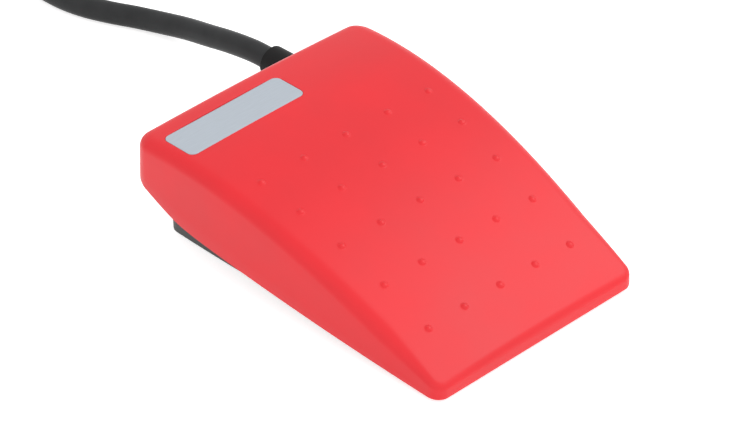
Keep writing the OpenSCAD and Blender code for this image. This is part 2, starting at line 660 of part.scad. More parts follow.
module base_housing() {
    color([0.2, 0.21, 0.21]) seat() difference() {
        union() {
            base_tray();
            mirrored() ear_pair();
            mirrored() translate([spring_x, spring_back, floor_z - base_floor / 2])
                cylinder(h = spigot_h + base_floor / 2, d = spigot_d);
            switch_mount();
            cable_saddle();
            mirrored() stop_post();
        }
        translate([0, hinge_back, hinge_h]) {
            x1 = knuckle_x + ear_x + ear_w + cut_over;
            along_x(-x1, x1, pin_r + slide_gap / 2);
            mirrored() along_x(knuckle_x - ear_x + seat_gap, knuckle_x + ear_x - seat_gap, knuckle_r + touch_gap);
        }
        mirrored() hook_window();
        relief_slot();
        for (k = [-1, 1]) translate([0, switch_back + k * switch_hole_pitch / 2, screw_hole_z])
            along_x(mount_x - cut_over, mount_x + mount_t + cut_over, switch_screw_d / 2 + slide_gap / 2);
        translate([cable_x, 0, cable_h]) along_y(clamp_y - cut_over, clamp_y + clamp_l + cut_over, cable_r + clamp_squeeze);
        translate([clamp_post_x, clamp_y + clamp_l / 2, floor_z])
            cylinder(h = cable_h, r = clamp_screw_d / 2 + slide_gap / 2);
        for (p = foot_places()) translate([p.x, p.y, base_z0 - cut_over])
            cylinder(h = foot_t - foot_out + cut_over, d = foot_d + 2 * seat_gap);
    }
}

module rubber_feet() {
    color([0.08, 0.08, 0.08]) seat() for (p = foot_places()) translate([p.x, p.y, 0])
        cylinder(h = foot_t, d = foot_d);
}

// Hinge pins
module hinge_pin() {
    profile = [[0, 0], [pin_r - pin_chamfer, 0], [pin_r, pin_chamfer], [pin_r, pin_l - pin_chamfer],
        [pin_r - pin_chamfer, pin_l], [0, pin_l]];
    color([0.7, 0.71, 0.72]) seat() translate([knuckle_x - pin_l / 2, hinge_back, hinge_h])
        rotate([0, 90, 0]) rotate_extrude() polygon(profile);
}
module hinge_pin_left() { mirror([1, 0, 0]) hinge_pin(); }
module hinge_pin_right() { hinge_pin(); }

// Return springs: one wire with closed end curls
spring_l = spring_seat_z - floor_z - 2 * slide_gap;
function curl_z(t) = let (free = spring_l - spring_wire_d - 2 * spring_end_pitch,
        mid = spring_turns - 2)
    t < 1 ? t * spring_end_pitch
    : t > spring_turns - 1 ? spring_end_pitch + free + (t - spring_turns + 1) * spring_end_pitch
    : spring_end_pitch + free * (t - 1) / mid;
spring_path = [for (i = [0:8 * spring_turns]) let (t = i / 8, a = full_turn * t)
    [spring_r * cos(a), spring_r * sin(a), floor_z + slide_gap + spring_wire_d / 2 + curl_z(t)]];
module return_spring() {
    color([0.72, 0.73, 0.74]) seat() translate([spring_x, spring_back, 0])
        tube(spring_path, spring_wire_d / 2, 6);
}
module return_spring_left() { mirror([1, 0, 0]) return_spring(); }
module return_spring_right() { return_spring(); }
function self_gap(pts, skip, d) = min([for (i = [0:len(pts) - 1 - skip], j = [i + skip:len(pts) - 1])
    norm(pts[i] - pts[j])]) - d;
echo(spring_gap = self_gap(spring_path, 6, spring_wire_d));

// Snap switch
case_x0 = -switch_w / 2;
case_x1 = switch_w / 2;
split_x = case_x0 + lid_t;
term_common_y = case_y0 + terminal_inset;
term_open_y = switch_back + terminal_mid;
term_closed_y = case_y0 + switch_l - terminal_inset;
room_z0 = case_z0 + case_wall;
room_z1 = case_z1 - case_wall;
module screw_holes(x0, x1, d) {
    for (k = [-1, 1]) translate([0, switch_back + k * switch_hole_pitch / 2, screw_hole_z])
        along_x(x0, x1, d / 2);
}
module terminal_slots() {
    for (y = [term_common_y, term_open_y, term_closed_y])
        block([split_x - cut_over, y - terminal_t / 2 - slide_gap, case_z0 - cut_over],
            [split_x + (case_x1 - split_x + terminal_w) / 2, y + terminal_t / 2 + slide_gap, room_z0 + cut_over]);
}
module lever_lug(x) {
    translate([0, lever_pivot_y, lever_pivot_z]) along_x(x, x + lever_lug_t, lever_barrel_d / 2);
    block([x, lever_pivot_y - lever_barrel_d / 2, case_z1 - case_wall / 2],
        [x + lever_lug_t, lever_pivot_y + lever_barrel_d / 2, lever_pivot_z]);
}
module lever_bore() {
    translate([0, lever_pivot_y, lever_pivot_z])
        along_x(-switch_w, switch_w, lever_pin_d / 2 + slide_gap / 2);
}
module switch_case() {
    color([0.13, 0.14, 0.16]) seat() difference() {
        union() {
            difference() {
                block([split_x, case_y0, case_z0], [case_x1, case_y0 + switch_l, case_z1]);
                block([split_x - cut_over, case_y0 + case_wall, room_z0],
                    [case_x1 - case_wall, case_y0 + switch_l - case_wall, room_z1]);
                terminal_slots();
            }
            screw_holes(split_x, case_x1 - case_wall / 2, screw_boss_d);
            lever_lug(case_x1 - lever_lug_t);
        }
        screw_holes(split_x - cut_over, case_x1 + cut_over, switch_screw_d + 2 * seat_gap);
        lever_bore();
        translate([0, plunger_y, room_z1 - cut_over]) cylinder(h = case_wall + 2 * cut_over, d = plunger_d + 2 * slide_gap);
    }
}
module switch_lid() {
    color([0.16, 0.17, 0.19]) seat() difference() {
        union() {
            block([case_x0, case_y0, case_z0], [split_x, case_y0 + switch_l, case_z1]);
            lever_lug(case_x0);
        }
        screw_holes(case_x0 - cut_over, split_x + cut_over, switch_screw_d + 2 * seat_gap);
        lever_bore();
    }
}
lever_plunger_z = lever_z(plunger_y) - lever_t / 2 / cos(lever_rise);
module switch_plunger() {
    tip = plunger_d / 2;
    color([0.85, 0.2, 0.16]) seat() translate([0, plunger_y, 0]) {
        translate([0, 0, room_z1 - slide_gap - plunger_flange_h]) cylinder(h = plunger_flange_h, d = plunger_flange_d);
        translate([0, 0, room_z1 - slide_gap - plunger_flange_h])
            cylinder(h = lever_plunger_z - slide_gap - tip - room_z1 + slide_gap + plunger_flange_h, d = plunger_d);
        translate([0, 0, lever_plunger_z - slide_gap - tip]) sphere(r = tip);
    }
}
module switch_lever() {
    color([0.74, 0.75, 0.76]) seat() translate([0, lever_pivot_y, lever_pivot_z]) difference() {
        union() {
            along_x(-lever_w / 2, lever_w / 2, lever_barrel_d / 2);
            rotate([lever_rise, 0, 0]) block([-lever_w / 2, 0, -lever_t / 2], [lever_w / 2, lever_l, lever_t / 2]);
        }
        along_x(-lever_w, lever_w, lever_pin_d / 2 + slide_gap);
    }
}
module lever_pin() {
    color([0.7, 0.71, 0.72]) seat() translate([0, lever_pivot_y, lever_pivot_z])
        along_x(case_x0, case_x1, lever_pin_d / 2);
}
term_x0 = split_x + (case_x1 - case_wall - split_x - terminal_w) / 2;
module strip_up(y, z1) {
    block([term_x0, y - terminal_t / 2, case_z0 - terminal_drop], [term_x0 + terminal_w, y + terminal_t / 2, z1]);
}
module flat_strip(y0, y1, z0) {
    block([term_x0, y0, z0], [term_x0 + terminal_w, y1, z0 + terminal_t]);
}
module button(z0, z1) {
    translate([term_x0 + terminal_w / 2, contact_y, z0]) cylinder(h = z1 - z0, d = contact_d);
}
blade_low_z = blade_z - blade_t / 2;
blade_top_z = blade_z + blade_t / 2;
module terminal_common() {
    color([0.78, 0.66, 0.36]) seat() strip_up(term_common_y, blade_low_z - slide_gap);
}
module contact_blade() {
    color([0.8, 0.62, 0.34]) seat() {
        block([term_x0, term_common_y - terminal_t / 2, blade_low_z],
            [term_x0 + blade_w, contact_y + contact_d / 2 + seat_gap, blade_top_z]);
        button(blade_low_z - contact_h, blade_top_z + contact_h);
    }
}
open_top_z = blade_low_z - 2 * contact_h - contact_gap - terminal_t;
module terminal_open() {
    color([0.78, 0.66, 0.36]) seat() {
        strip_up(term_open_y, open_top_z + terminal_t);
        flat_strip(term_open_y - terminal_t / 2, contact_y + contact_d / 2, open_top_z);
        button(open_top_z, open_top_z + terminal_t + contact_h);
    }
}
module terminal_closed() {
    z1 = blade_top_z + contact_h + slide_gap + contact_h / 2;
    color([0.78, 0.66, 0.36]) seat() {
        strip_up(term_closed_y, z1 + terminal_t);
        flat_strip(contact_y - contact_d / 2, term_closed_y + terminal_t / 2, z1);
        button(blade_top_z + contact_h + slide_gap, z1 + terminal_t);
    }
}
module switch_screws() {
    color([0.7, 0.71, 0.72]) seat() {
        screw_holes(case_x0, mount_x + mount_t - cut_over / 2, switch_screw_d);
        screw_holes(case_x0 - screw_head_h, case_x0, screw_head_d);
    }
}

// Lead inside the base
clamp_z0 = cable_h + touch_gap;
clamp_z1 = cable_h + cable_r + clamp_bar_t;
module cable_clamp() {
    color([0.14, 0.14, 0.15]) seat() difference() {
        union() {
            block([cable_x - saddle_half, clamp_y, clamp_z0],
                [cable_x + saddle_half, clamp_y + clamp_l, clamp_z1]);
            translate([clamp_post_x, clamp_y + clamp_l / 2, clamp_z0])
                cylinder(h = clamp_bar_t, d = clamp_post_d);
            block([clamp_post_x, clamp_y + clamp_l / 6, clamp_z0],
                [cable_x, clamp_y + clamp_l * 5 / 6, clamp_z0 + clamp_bar_t]);
        }
        translate([cable_x, 0, cable_h])
            along_y(clamp_y - cut_over, clamp_y + clamp_l + cut_over, cable_r + clamp_squeeze);
        translate([clamp_post_x, clamp_y + clamp_l / 2, clamp_z0 - cut_over])
            cylinder(h = clamp_bar_t + 2 * cut_over, r = clamp_screw_d / 2 + seat_gap);
    }
}
module clamp_screw() {
    z0 = floor_z + base_floor;
    z1 = clamp_z0 + clamp_bar_t;
    color([0.7, 0.71, 0.72]) seat() translate([clamp_post_x, clamp_y + clamp_l / 2, 0]) {
        translate([0, 0, z0]) cylinder(h = z1 - z0, d = clamp_screw_d);
        translate([0, 0, z1]) cylinder(h = screw_head_h, d = screw_head_d);
    }
}

relief_y0 = rear_room_y - relief_flange_t - seat_gap;
relief_y1 = base_rear_y + relief_l;
relief_bore_r = cable_r + slide_gap;
module strain_relief() {
    flat_x = relief_neck_d / 2;
    color([0.09, 0.09, 0.09]) seat() difference() {
        translate([cable_x, 0, cable_h]) rotate([-90, 0, 0]) rotate_extrude()
            polygon([[relief_bore_r, relief_y0], [relief_inner_d / 2, relief_y0],
                [relief_inner_d / 2, rear_room_y - seat_gap], [relief_neck_d / 2, rear_room_y - seat_gap],
                [relief_neck_d / 2, base_rear_y + seat_gap], [relief_flange_d / 2, base_rear_y + seat_gap],
                [relief_flange_d / 2, base_rear_y + seat_gap + relief_flange_t],
                [relief_root_d / 2, base_rear_y + seat_gap + relief_flange_t],
                [relief_end_d / 2, relief_y1 - relief_end_edge], [relief_end_d / 2 - relief_end_edge, relief_y1],
                [relief_bore_r, relief_y1]]);
        block([cable_x + flat_x, relief_y0 - cut_over, 0],
            [cable_x + relief_inner_d, rear_room_y - seat_gap, base_rim_h]);
    }
}
module cable_end() {
    color([0.17, 0.17, 0.17]) seat() translate([cable_x, 0, cable_h]) along_y(sheath_end_y, relief_y1, cable_r);
}

// Cores from the end of the sheath to the terminals, round the right-hand spring
solder_z = case_z0 - terminal_drop / 2;
core_x = term_x0 + terminal_w / 2;
// Points of each route: three from the sheath's end, some from the spring, the last from the switch
function by_lead(x, y, z) = [cable_x + x, sheath_end_y + y, cable_h + z];
function by_spring(x, y, z) = [spring_x + x, spring_back + y, floor_z + z];
function by_case(x, y, z) = [x, case_y1 + y, floor_z + z];
function by_terminal(t, x, y, z) = [x, t + y, solder_z + z];
core_common_route = [by_lead(-1.6, -2, -1.2), by_lead(-4.9, -4.1, -3.4), by_spring(-6.6, 8.2, 2.6),
    by_spring(-12, 5.2, 1.4), by_case(7.2, 7.9, 1.3), by_case(-1, 4.9, 1.3), by_case(-6.6, 0.5, 1.3),
    by_case(-7.2, -7.9, 1.3), by_terminal(term_common_y, -6, 3.7, -1.7), by_terminal(term_common_y, -2.8, 1.8, -0.4)];
core_open_route = [by_lead(-0.1, -2.6, 1.1), by_lead(-3.3, -5.9, -1), by_spring(-5.8, 5.6, 3.8),
    by_spring(-10.2, 2.2, 1.6), by_case(9, 5, 1.3), by_case(1, 2.3, 1.3), by_case(-3.4, -0.5, 1.3),
    by_terminal(term_open_y, -4, 4.2, -1.6), by_terminal(term_open_y, -2.4, 1.9, -0.4)];
core_closed_route = [by_lead(1.1, -2.7, -1.4), by_lead(-1.5, -6.3, -4.8), by_spring(-2.6, 6.2, 1.4),
    by_spring(-6.6, 1.4, 1.3), by_case(12.6, 3.3, 1.3), by_terminal(term_closed_y, 7.2, 3.3, -1.5),
    by_terminal(term_closed_y, 3, 2, -0.4)];
module core(angle, y, route) {
    start = [cable_x + core_spread * cos(angle), sheath_end_y, cable_h + core_spread * sin(angle)];
    end = [core_x, y + terminal_t / 2 + core_d / 2 + slide_gap, solder_z];
    seat() tube(spline(concat([start], route, [end]), 2), core_d / 2, 8);
}
module core_common() { color("royalblue") core(210, term_common_y, core_common_route); }
module core_open() { color("saddlebrown") core(90, term_open_y, core_open_route); }
module core_closed() { color("black") core(-30, term_closed_y, core_closed_route); }

// Free cable, coil, ties and the bare far end
module cable() {
    color([0.17, 0.17, 0.17]) tube(cable_path, cable_r, tube_sides);
}
coil_outer_r = coil_inner_r + coil_pitch * coil_layer_turns;
coil_z0 = tie_t + cable_r;
coil_turns = 2 * coil_layer_turns + 0.5;
// Radius and height of the coil's tube after a number of turns
function coil_r(t) = t < coil_layer_turns ? coil_outer_r - coil_pitch * t
    : t > coil_layer_turns + 0.5 ? coil_inner_r + coil_pitch * (t - coil_layer_turns - 0.5)
    : coil_inner_r - coil_dip * sin(half_turn * 2 * (t - coil_layer_turns));
function coil_z(t) = coil_z0 + coil_pitch / 2
    * (1 - cos(half_turn * clamp01(2 * (t - coil_layer_turns))));
function coil_at(t) = let (a = coil_start + full_turn * t)
    [coil_centre.x + coil_r(t) * cos(a), coil_centre.y + coil_r(t) * sin(a), coil_z(t)];
coil_last = coil_steps * coil_turns;
coil_body = [for (i = [0:coil_last]) coil_at(i / coil_steps)];
function straight_on(p, t) = p + cable_d * t;
coil_path = concat([straight_on(coil_body[0], -tangent_at(coil_body, 0))], coil_body,
    [straight_on(coil_body[coil_last], tangent_at(coil_body, coil_last))]);
cable_path = spline(concat(cable_points,
    [coil_path[0] - 2 * cable_d * tangent_at(coil_body, 0), coil_path[0]]), 2);
module cable_coil() {
    color([0.17, 0.17, 0.17]) tube(coil_path, cable_r, coil_sides);
}
echo(coil_gap = self_gap(coil_path, 10, cable_d));
echo(lead_length = path_l(cable_path) + path_l(coil_path) + relief_y1 - sheath_end_y);

// Flat tie round the coil's section at a given angle
module coil_tie(angle) {
    r0 = coil_inner_r - coil_dip - cable_r - touch_gap;
    r1 = coil_outer_r + cable_r + touch_gap;
    z1 = coil_z0 + coil_pitch + cable_r + touch_gap;
    translate([coil_centre.x, coil_centre.y, 0]) rotate([0, 0, angle]) translate([0, tie_w / 2, 0])
        rotate([90, 0, 0]) linear_extrude(tie_w) difference() {
            translate([r0 - tie_t, 0]) square([r1 - r0 + 2 * tie_t, z1 + tie_t]);
            translate([r0, tie_t - slide_gap]) square([r1 - r0, z1 - tie_t + slide_gap]);
        }
}
tie_angles = [60, 240];
module coil_ties() {
    color([0.1, 0.1, 0.1]) for (a = tie_angles) coil_tie(a);
}

// Bare cores beyond the end of the sheath
tail_start = coil_path[len(coil_path) - 1];
tail_dir = tangent_at(coil_path, len(coil_path) - 1);
tail_side = unit(cross(tail_dir, [0, 0, 1]));
// A tail follows the coil's round, sinks a little and spreads outward
function tail_path(i, l0, l1) = [for (k = [0:4]) let (s = lerp(l0, l1, k / 4), t = s / tail_l,
        turn = s / coil_outer_r * half_turn / PI)
    tail_start + tail_dir * coil_outer_r * sin(turn) - tail_side * coil_outer_r * (1 - cos(turn))
        + tail_side * (core_spread * cos(tail_angles[i]) + tail_spreads[i] * t^2)
        + [0, 0, core_spread * sin(tail_angles[i]) - tail_sink * t^2]];
tail_angles = [90, 210, 330];
tail_spreads = [0.6, -0.2, 2.4];
tail_sink = 1.5;
module core_tails() {
    for (i = [0:2]) color(["saddlebrown", "black", "royalblue"][i])
        tube(tail_path(i, 0, tail_l - tin_l), core_d / 2, 8);
}
module tinned_ends() {
    color([0.75, 0.75, 0.74]) for (i = [0:2])
        tube(tail_path(i, tail_l - tin_l, tail_l), tin_d / 2, 8);
}

pedal_cover();
label_plate();
base_housing();
hinge_pin_left();
hinge_pin_right();
return_spring_left();
return_spring_right();
switch_case();
switch_lid();
switch_plunger();
switch_lever();
lever_pin();
contact_blade();
terminal_common();
terminal_open();
terminal_closed();
switch_screws();
cable_clamp();
clamp_screw();
strain_relief();
cable_end();
core_common();
core_open();
core_closed();
rubber_feet();
cable();
cable_coil();
coil_ties();
core_tails();
tinned_ends();
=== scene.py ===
# Foot switch: red treadle cover on a low black base, with its switch works, lead and coil.
# Sizes in the dictionaries are millimetres, with Y from the cover's front lip.
import math

import bmesh
import bpy
import numpy as np
from mathutils import Matrix, Vector


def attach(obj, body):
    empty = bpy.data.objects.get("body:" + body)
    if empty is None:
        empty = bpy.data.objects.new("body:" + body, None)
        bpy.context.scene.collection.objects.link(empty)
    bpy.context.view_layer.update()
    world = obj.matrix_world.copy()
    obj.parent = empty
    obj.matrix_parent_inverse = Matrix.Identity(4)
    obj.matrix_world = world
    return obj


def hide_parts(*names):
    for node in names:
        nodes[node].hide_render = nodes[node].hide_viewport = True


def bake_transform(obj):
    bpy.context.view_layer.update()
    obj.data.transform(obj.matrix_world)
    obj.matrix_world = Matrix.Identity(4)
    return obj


print("stage: loading the packed model")
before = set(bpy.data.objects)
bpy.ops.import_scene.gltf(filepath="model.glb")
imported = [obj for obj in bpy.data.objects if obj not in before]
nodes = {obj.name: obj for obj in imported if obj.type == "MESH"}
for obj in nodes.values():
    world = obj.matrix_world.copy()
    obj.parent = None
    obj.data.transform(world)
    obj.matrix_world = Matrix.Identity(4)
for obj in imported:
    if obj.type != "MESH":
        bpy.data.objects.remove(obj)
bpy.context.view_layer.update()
mm = 0.001
fullTurn = 2 * math.pi

cover = {
    "length": 112.0, "frontWidth": 73.2, "rearWidth": 85.2, "sideBow": 1.5, "wall": 2.2,
    "frontHeight": 5.3, "rearHeight": 31.3, "frontSlope": 26.6, "rearFall": 8.4, "crown": 1.0,
    "frontCorner": 3.8, "rearCorner": 5.8, "sideEdge": 4.2, "frontEdge": 1.8, "rearEdge": 3.0,
    "draft": 1.6, "lip": 0.7, "skirtRise": 6.0, "cutLength": 18.5, "cutRise": 19.0,
    "cutBlend": 5.0, "edgeRun": 20.0, "innerEdge": 1.0, "innerCorner": 2.2, "lipRound": 0.45,
}
hinge = {"y": 14.0, "z": 5.6, "pinRadius": 1.5, "bore": 1.55, "knuckle": 2.9, "x": 24.0,
         "width": 5.8, "pinLength": 11.6, "pinRound": 0.4, "arch": 2.2, "edge": 0.25}
originY = cover["length"] / 2  # the frame's Y is measured from halfway along the cover


# Mesh building: a shape is a pair of a point array and a list of faces

def gridFaces(rows, columns, wrapRows=False):
    # quads of a grid whose columns close on themselves
    i = np.arange(rows if wrapRows else rows - 1)[:, None]
    j = np.arange(columns)[None, :]
    k, n = (j + 1) % columns, (i + 1) % rows
    quads = np.stack([i * columns + j, i * columns + k, n * columns + k, n * columns + j], -1)
    return quads.reshape(-1, 4).tolist()


def ringSkin(rings, first=None, last=None):
    # skin over rings of equal length; a fan closes each end on its point
    m, n = rings.shape[:2]
    points = rings.reshape(-1, 3)
    faces = gridFaces(m, n)
    i = np.arange(n)
    j = (i + 1) % n
    for tip, start in ((first, 0), (last, (m - 1) * n)):
        if tip is not None:
            faces += np.stack([start + i, start + j, np.full(n, len(points))], -1).tolist()
            points = np.vstack([points, tip])
    return points, faces


def lathe(profile, sides=40, closed=False):
    # profile of (radius, height) turned round the Z axis; a closed profile makes a ring
    r, h = np.asarray(profile, float).T
    turn = np.arange(sides) / sides * fullTurn
    rings = np.stack([r[:, None] * np.cos(turn), r[:, None] * np.sin(turn),
                      np.repeat(h[:, None], sides, 1)], -1)
    if closed:
        return rings.reshape(-1, 3), gridFaces(len(r), sides, True)
    return ringSkin(rings, (0, 0, h[0]), (0, 0, h[-1]))


def turned(shape, axis):
    # lay a shape that stands along Z along X or Y
    x, y, z = shape[0].T
    order = {"x": (z, x, y), "y": (y, z, x)}[axis]
    return np.stack(order, -1), shape[1]


def moved(shape, x=0.0, y=0.0, z=0.0):
    # every point plus one step
    return shape[0] + np.array([x, y, z]), shape[1]


def mirrored(shape):
    # x changes its sign
    return shape[0] * np.array([-1.0, 1, 1]), shape[1]


def prism(profile, low, high, axis="x"):
    # flat profile carried straight from low to high along one axis
    a, b = np.asarray(profile, float).T
    n = len(a)
    ends = [np.stack({"x": (np.full(n, t), a, b), "y": (a, np.full(n, t), b),
                      "z": (a, b, np.full(n, t))}[axis], -1) for t in (low, high)]
    i = np.arange(n)
    j = (i + 1) % n
    sides = np.stack([i, j, n + j, n + i], -1).tolist()
    return np.vstack(ends), sides + [list(range(n)), list(range(n, 2 * n))]


def roundedCorners(points, radius, steps=4, closed=True):
    # each corner of a polyline becomes a short curve that starts at radius from it
    points = np.asarray(points, float)
    n = len(points)
    radius = np.broadcast_to(radius, n)
    t = np.linspace(0, 1, steps + 1)[:, None]
    out = []
    for i, p in enumerate(points):
        if (not closed and i in (0, n - 1)) or radius[i] == 0:
            out.append(p[None])
            continue
        before, after = points[i - 1] - p, points[(i + 1) % n] - p
        reach = min(radius[i], 0.49 * np.linalg.norm(before), 0.49 * np.linalg.norm(after))
        a = p + before / np.linalg.norm(before) * reach
        b = p + after / np.linalg.norm(after) * reach
        out.append(a * (1 - t) ** 2 + 2 * p * t * (1 - t) + b * t ** 2)
    return np.vstack(out)


def tangents(path):
    # unit direction from the neighbours on both sides
    d = np.gradient(path, axis=0)
    return d / np.linalg.norm(d, axis=1)[:, None]


def tubeAlong(path, radius, sides=16, endRound=0.3):
    # circle carried square to a path that never stands upright, with softened rims
    path = np.asarray(path, float)
    t = tangents(path)
    n = np.cross(t, [0, 0, 1.0])
    n /= np.linalg.norm(n, axis=1)[:, None]
    b = np.cross(n, t)
    r = np.full(len(path), float(radius))
    inner = np.array([path[0] + t[0] * endRound, path[-1] - t[-1] * endRound])
    path = np.vstack([path[:1], inner[:1], path[1:-1], inner[1:], path[-1:]])
    pick = np.concatenate([[0, 0], np.arange(1, len(t) - 1), [len(t) - 1, len(t) - 1]])
    n, b, r = n[pick], b[pick], r[pick]
    r[[0, -1]] -= endRound
    turn = np.arange(sides) / sides * fullTurn
    rings = path[:, None] + r[:, None, None] * (np.cos(turn)[None, :, None] * n[:, None]
                                                + np.sin(turn)[None, :, None] * b[:, None])
    return ringSkin(rings, path[0], path[-1])


def throughPoints(points, steps):
    # smooth curve through given points: the Catmull-Rom cubic
    p = np.asarray(points, float)
    q = np.vstack([p[:1], p, p[-1:]])
    t = (np.arange(steps) / steps)[None, :, None]
    a, b, c, d = (q[k:k + len(p) - 1][:, None] for k in range(4))
    curve = 0.5 * (2 * b + (c - a) * t + (2 * a - 5 * b + 4 * c - d) * t ** 2
                   + (3 * b - a - 3 * c + d) * t ** 3)
    return np.vstack([curve.reshape(-1, 3), p[-1:]])


def makePiece(name, shapes, body, replaced=(), sharp=40):
    # joins shapes into one mesh in metres, with Y from the middle of the cover, turns its faces outwards,
    # shades it smooth up to the sharp angle and ties it to its body
    points = np.vstack([s[0] for s in shapes]) * mm
    points[:, 1] -= originY * mm
    faces, start = [], 0
    for s in shapes:
        faces += [[start + i for i in f] for f in s[1]]
        start += len(s[0])
    mesh = bpy.data.meshes.new(name)
    mesh.from_pydata(points.tolist(), [], faces)
    work = bmesh.new()
    work.from_mesh(mesh)
    bmesh.ops.remove_doubles(work, verts=work.verts, dist=2e-7)
    bmesh.ops.recalc_face_normals(work, faces=work.faces)
    work.to_mesh(mesh)
    work.free()
    mesh.shade_smooth()
    mesh.set_sharp_from_angle(angle=math.radians(sharp))
    piece = bpy.data.objects.new(name, mesh)
    bpy.context.scene.collection.objects.link(piece)
    if body:
        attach(piece, body)
    if replaced:
        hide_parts(*replaced)
    return piece


def cutOut(piece, shapes, sharp=30):
    # takes solid shapes out of a piece and keeps the cut edges crisp
    cutters = []
    for shape in shapes:
        points = shape[0] * mm - np.array([0, originY * mm, 0])
        mesh = bpy.data.meshes.new("cutter")
        mesh.from_pydata(points.tolist(), [], shape[1])
        work = bmesh.new()
        work.from_mesh(mesh)
        bmesh.ops.recalc_face_normals(work, faces=work.faces)
        work.to_mesh(mesh)
        work.free()
        cutter = bpy.data.objects.new("cutter", mesh)
        bpy.context.scene.collection.objects.link(cutter)
        change = piece.modifiers.new("cut", "BOOLEAN")
        change.operation, change.solver, change.object = "DIFFERENCE", "EXACT", cutter
        cutters.append(cutter)
    graph = bpy.context.evaluated_depsgraph_get()
    result = bpy.data.meshes.new_from_object(piece.evaluated_get(graph))
    piece.modifiers.clear()
    piece.data = result
    result.shade_smooth()
    result.set_sharp_from_angle(angle=math.radians(sharp))
    for cutter in cutters:
        bpy.data.objects.remove(cutter)


# The cover's form: the same curves and values as in the part's source

def topZ(y):
    # cubic along the middle line with given heights and slopes at both ends
    t = y / cover["length"]
    return (cover["frontHeight"] * (2 * t ** 3 - 3 * t ** 2 + 1)
            + cover["rearHeight"] * (3 * t ** 2 - 2 * t ** 3)
            + cover["length"] * math.tan(math.radians(cover["frontSlope"])) * (t ** 3 - 2 * t ** 2 + t)
            - cover["length"] * math.tan(math.radians(cover["rearFall"])) * (t ** 3 - t ** 2))


def topSlope(y):
    # rise of the middle line over a short step round y
    return (topZ(y + 0.01) - topZ(y - 0.01)) / 0.02


def surfaceZ(x, y):
    # the top falls towards the sides with the square of the distance
    return topZ(y) - cover["crown"] * (x / (cover["rearWidth"] / 2)) ** 2


def wallDrop(y):
    # upright distance through a wall that is even when measured square to the slope
    return cover["wall"] * np.sqrt(1 + topSlope(y) ** 2)


def underZ(x, y):
    # inner face: the top lowered by the wall
    return surfaceZ(x, y) - wallDrop(y)


def skirtZ(y):
    # lower edge: a straight rise, with a steeper one added softly near the rear
    d = y - (cover["length"] - cover["cutLength"])
    soft = (d + np.sqrt(d ** 2 + cover["cutBlend"] ** 2)) / 2
    return (cover["lip"] + y * math.tan(math.radians(cover["skirtRise"]))
            + math.tan(math.radians(cover["cutRise"])) * soft)


def halfAt(y):
    # half width, straight from the front corners to the rear ones
    return (cover["frontWidth"] + (cover["rearWidth"] - cover["frontWidth"]) * y / cover["length"]) / 2


def planOutline(y0, y1, h0, h1, r0, r1, bow, edge=20, arc=12, side=56):
    # closed plan line of x, y and the outward normal: straight ends, round corners, bowed sides
    a = math.atan2(h1 - h0, y1 - y0)
    c0 = np.array([h0 + r0 * math.tan(a) - r0 / math.cos(a), y0 + r0])
    c1 = np.array([h1 - r1 * math.tan(a) - r1 / math.cos(a), y1 - r1])
    n = np.array([math.cos(a), -math.sin(a)])
    t0 = np.linspace(-math.pi / 2, -a, arc + 1)
    t1 = np.linspace(-a, math.pi / 2, arc + 1)
    run = np.linspace(0, 1, side + 1)[1:-1, None]
    line = (c0 + r0 * n) * (1 - run) + (c1 + r1 * n) * run
    k = np.arange(edge) / edge
    parts = [np.stack([c0[0] * k, 0 * k + y0, 0 * k, 0 * k - 1], -1),
             np.stack([c0[0] + r0 * np.cos(t0), c0[1] + r0 * np.sin(t0), np.cos(t0), np.sin(t0)], -1),
             np.hstack([line, np.broadcast_to(n, line.shape)]),
             np.stack([c1[0] + r1 * np.cos(t1), c1[1] + r1 * np.sin(t1), np.cos(t1), np.sin(t1)], -1),
             np.stack([c1[0] * (1 - k - 1 / edge), 0 * k + y1, 0 * k, 0 * k + 1], -1)]
    half = np.vstack(parts)
    t = (half[:, 1] - y0) / (y1 - y0)
    half[:, 0] *= 1 + bow * 4 * t * (1 - t) / (h0 + (h1 - h0) * t)
    other = half[1:-1][::-1] * np.array([-1.0, 1, -1, 1])
    return np.vstack([half, other])


def movedIn(plan, d):
    # plan points moved against their normals by d
    return plan[:, 0] - plan[:, 2] * d, plan[:, 1] - plan[:, 3] * d


draftRun = math.tan(math.radians(cover["draft"]))


def edgeRadius(plan):
    # side edges grow to their full radius over a short run behind the lip
    side = cover["frontEdge"] + (cover["sideEdge"] - cover["frontEdge"]) * np.clip(
        plan[:, 1] / cover["edgeRun"], 0, 1)
    end = np.where(plan[:, 3] < 0, cover["frontEdge"], cover["rearEdge"])
    return plan[:, 2] ** 2 * side + plan[:, 3] ** 2 * end


def edgeRing(plan, depth, radius, angle):
    # quarter round between wall and top at one angle, from 0 on the wall to a quarter turn
    z0 = topZ(plan[:, 1]) - depth - radius
    x, y = movedIn(plan, (z0 - cover["lip"]) * draftRun + radius * (1 - math.cos(angle)))
    z = topZ(y) - depth - radius * (1 - math.sin(angle)) - cover["crown"] * (
        x / (cover["rearWidth"] / 2)) ** 2 * math.sin(angle)
    return np.stack([x, y, z], -1)


def capRing(rim, share, height):
    # rim drawn together towards the middle of the cover, laid on a height function
    middle = np.array([0, cover["length"] / 2])
    x, y = (middle + (rim[:, :2] - middle) * share).T
    return np.stack([x, y, height(x, y)], -1)


def skirtRing(plan):
    # plan laid on the skirt's edge, moved in by the draft
    z = skirtZ(plan[:, 1])
    x, y = movedIn(plan, (z - cover["lip"]) * draftRun)
    return np.stack([x, y, z], -1)


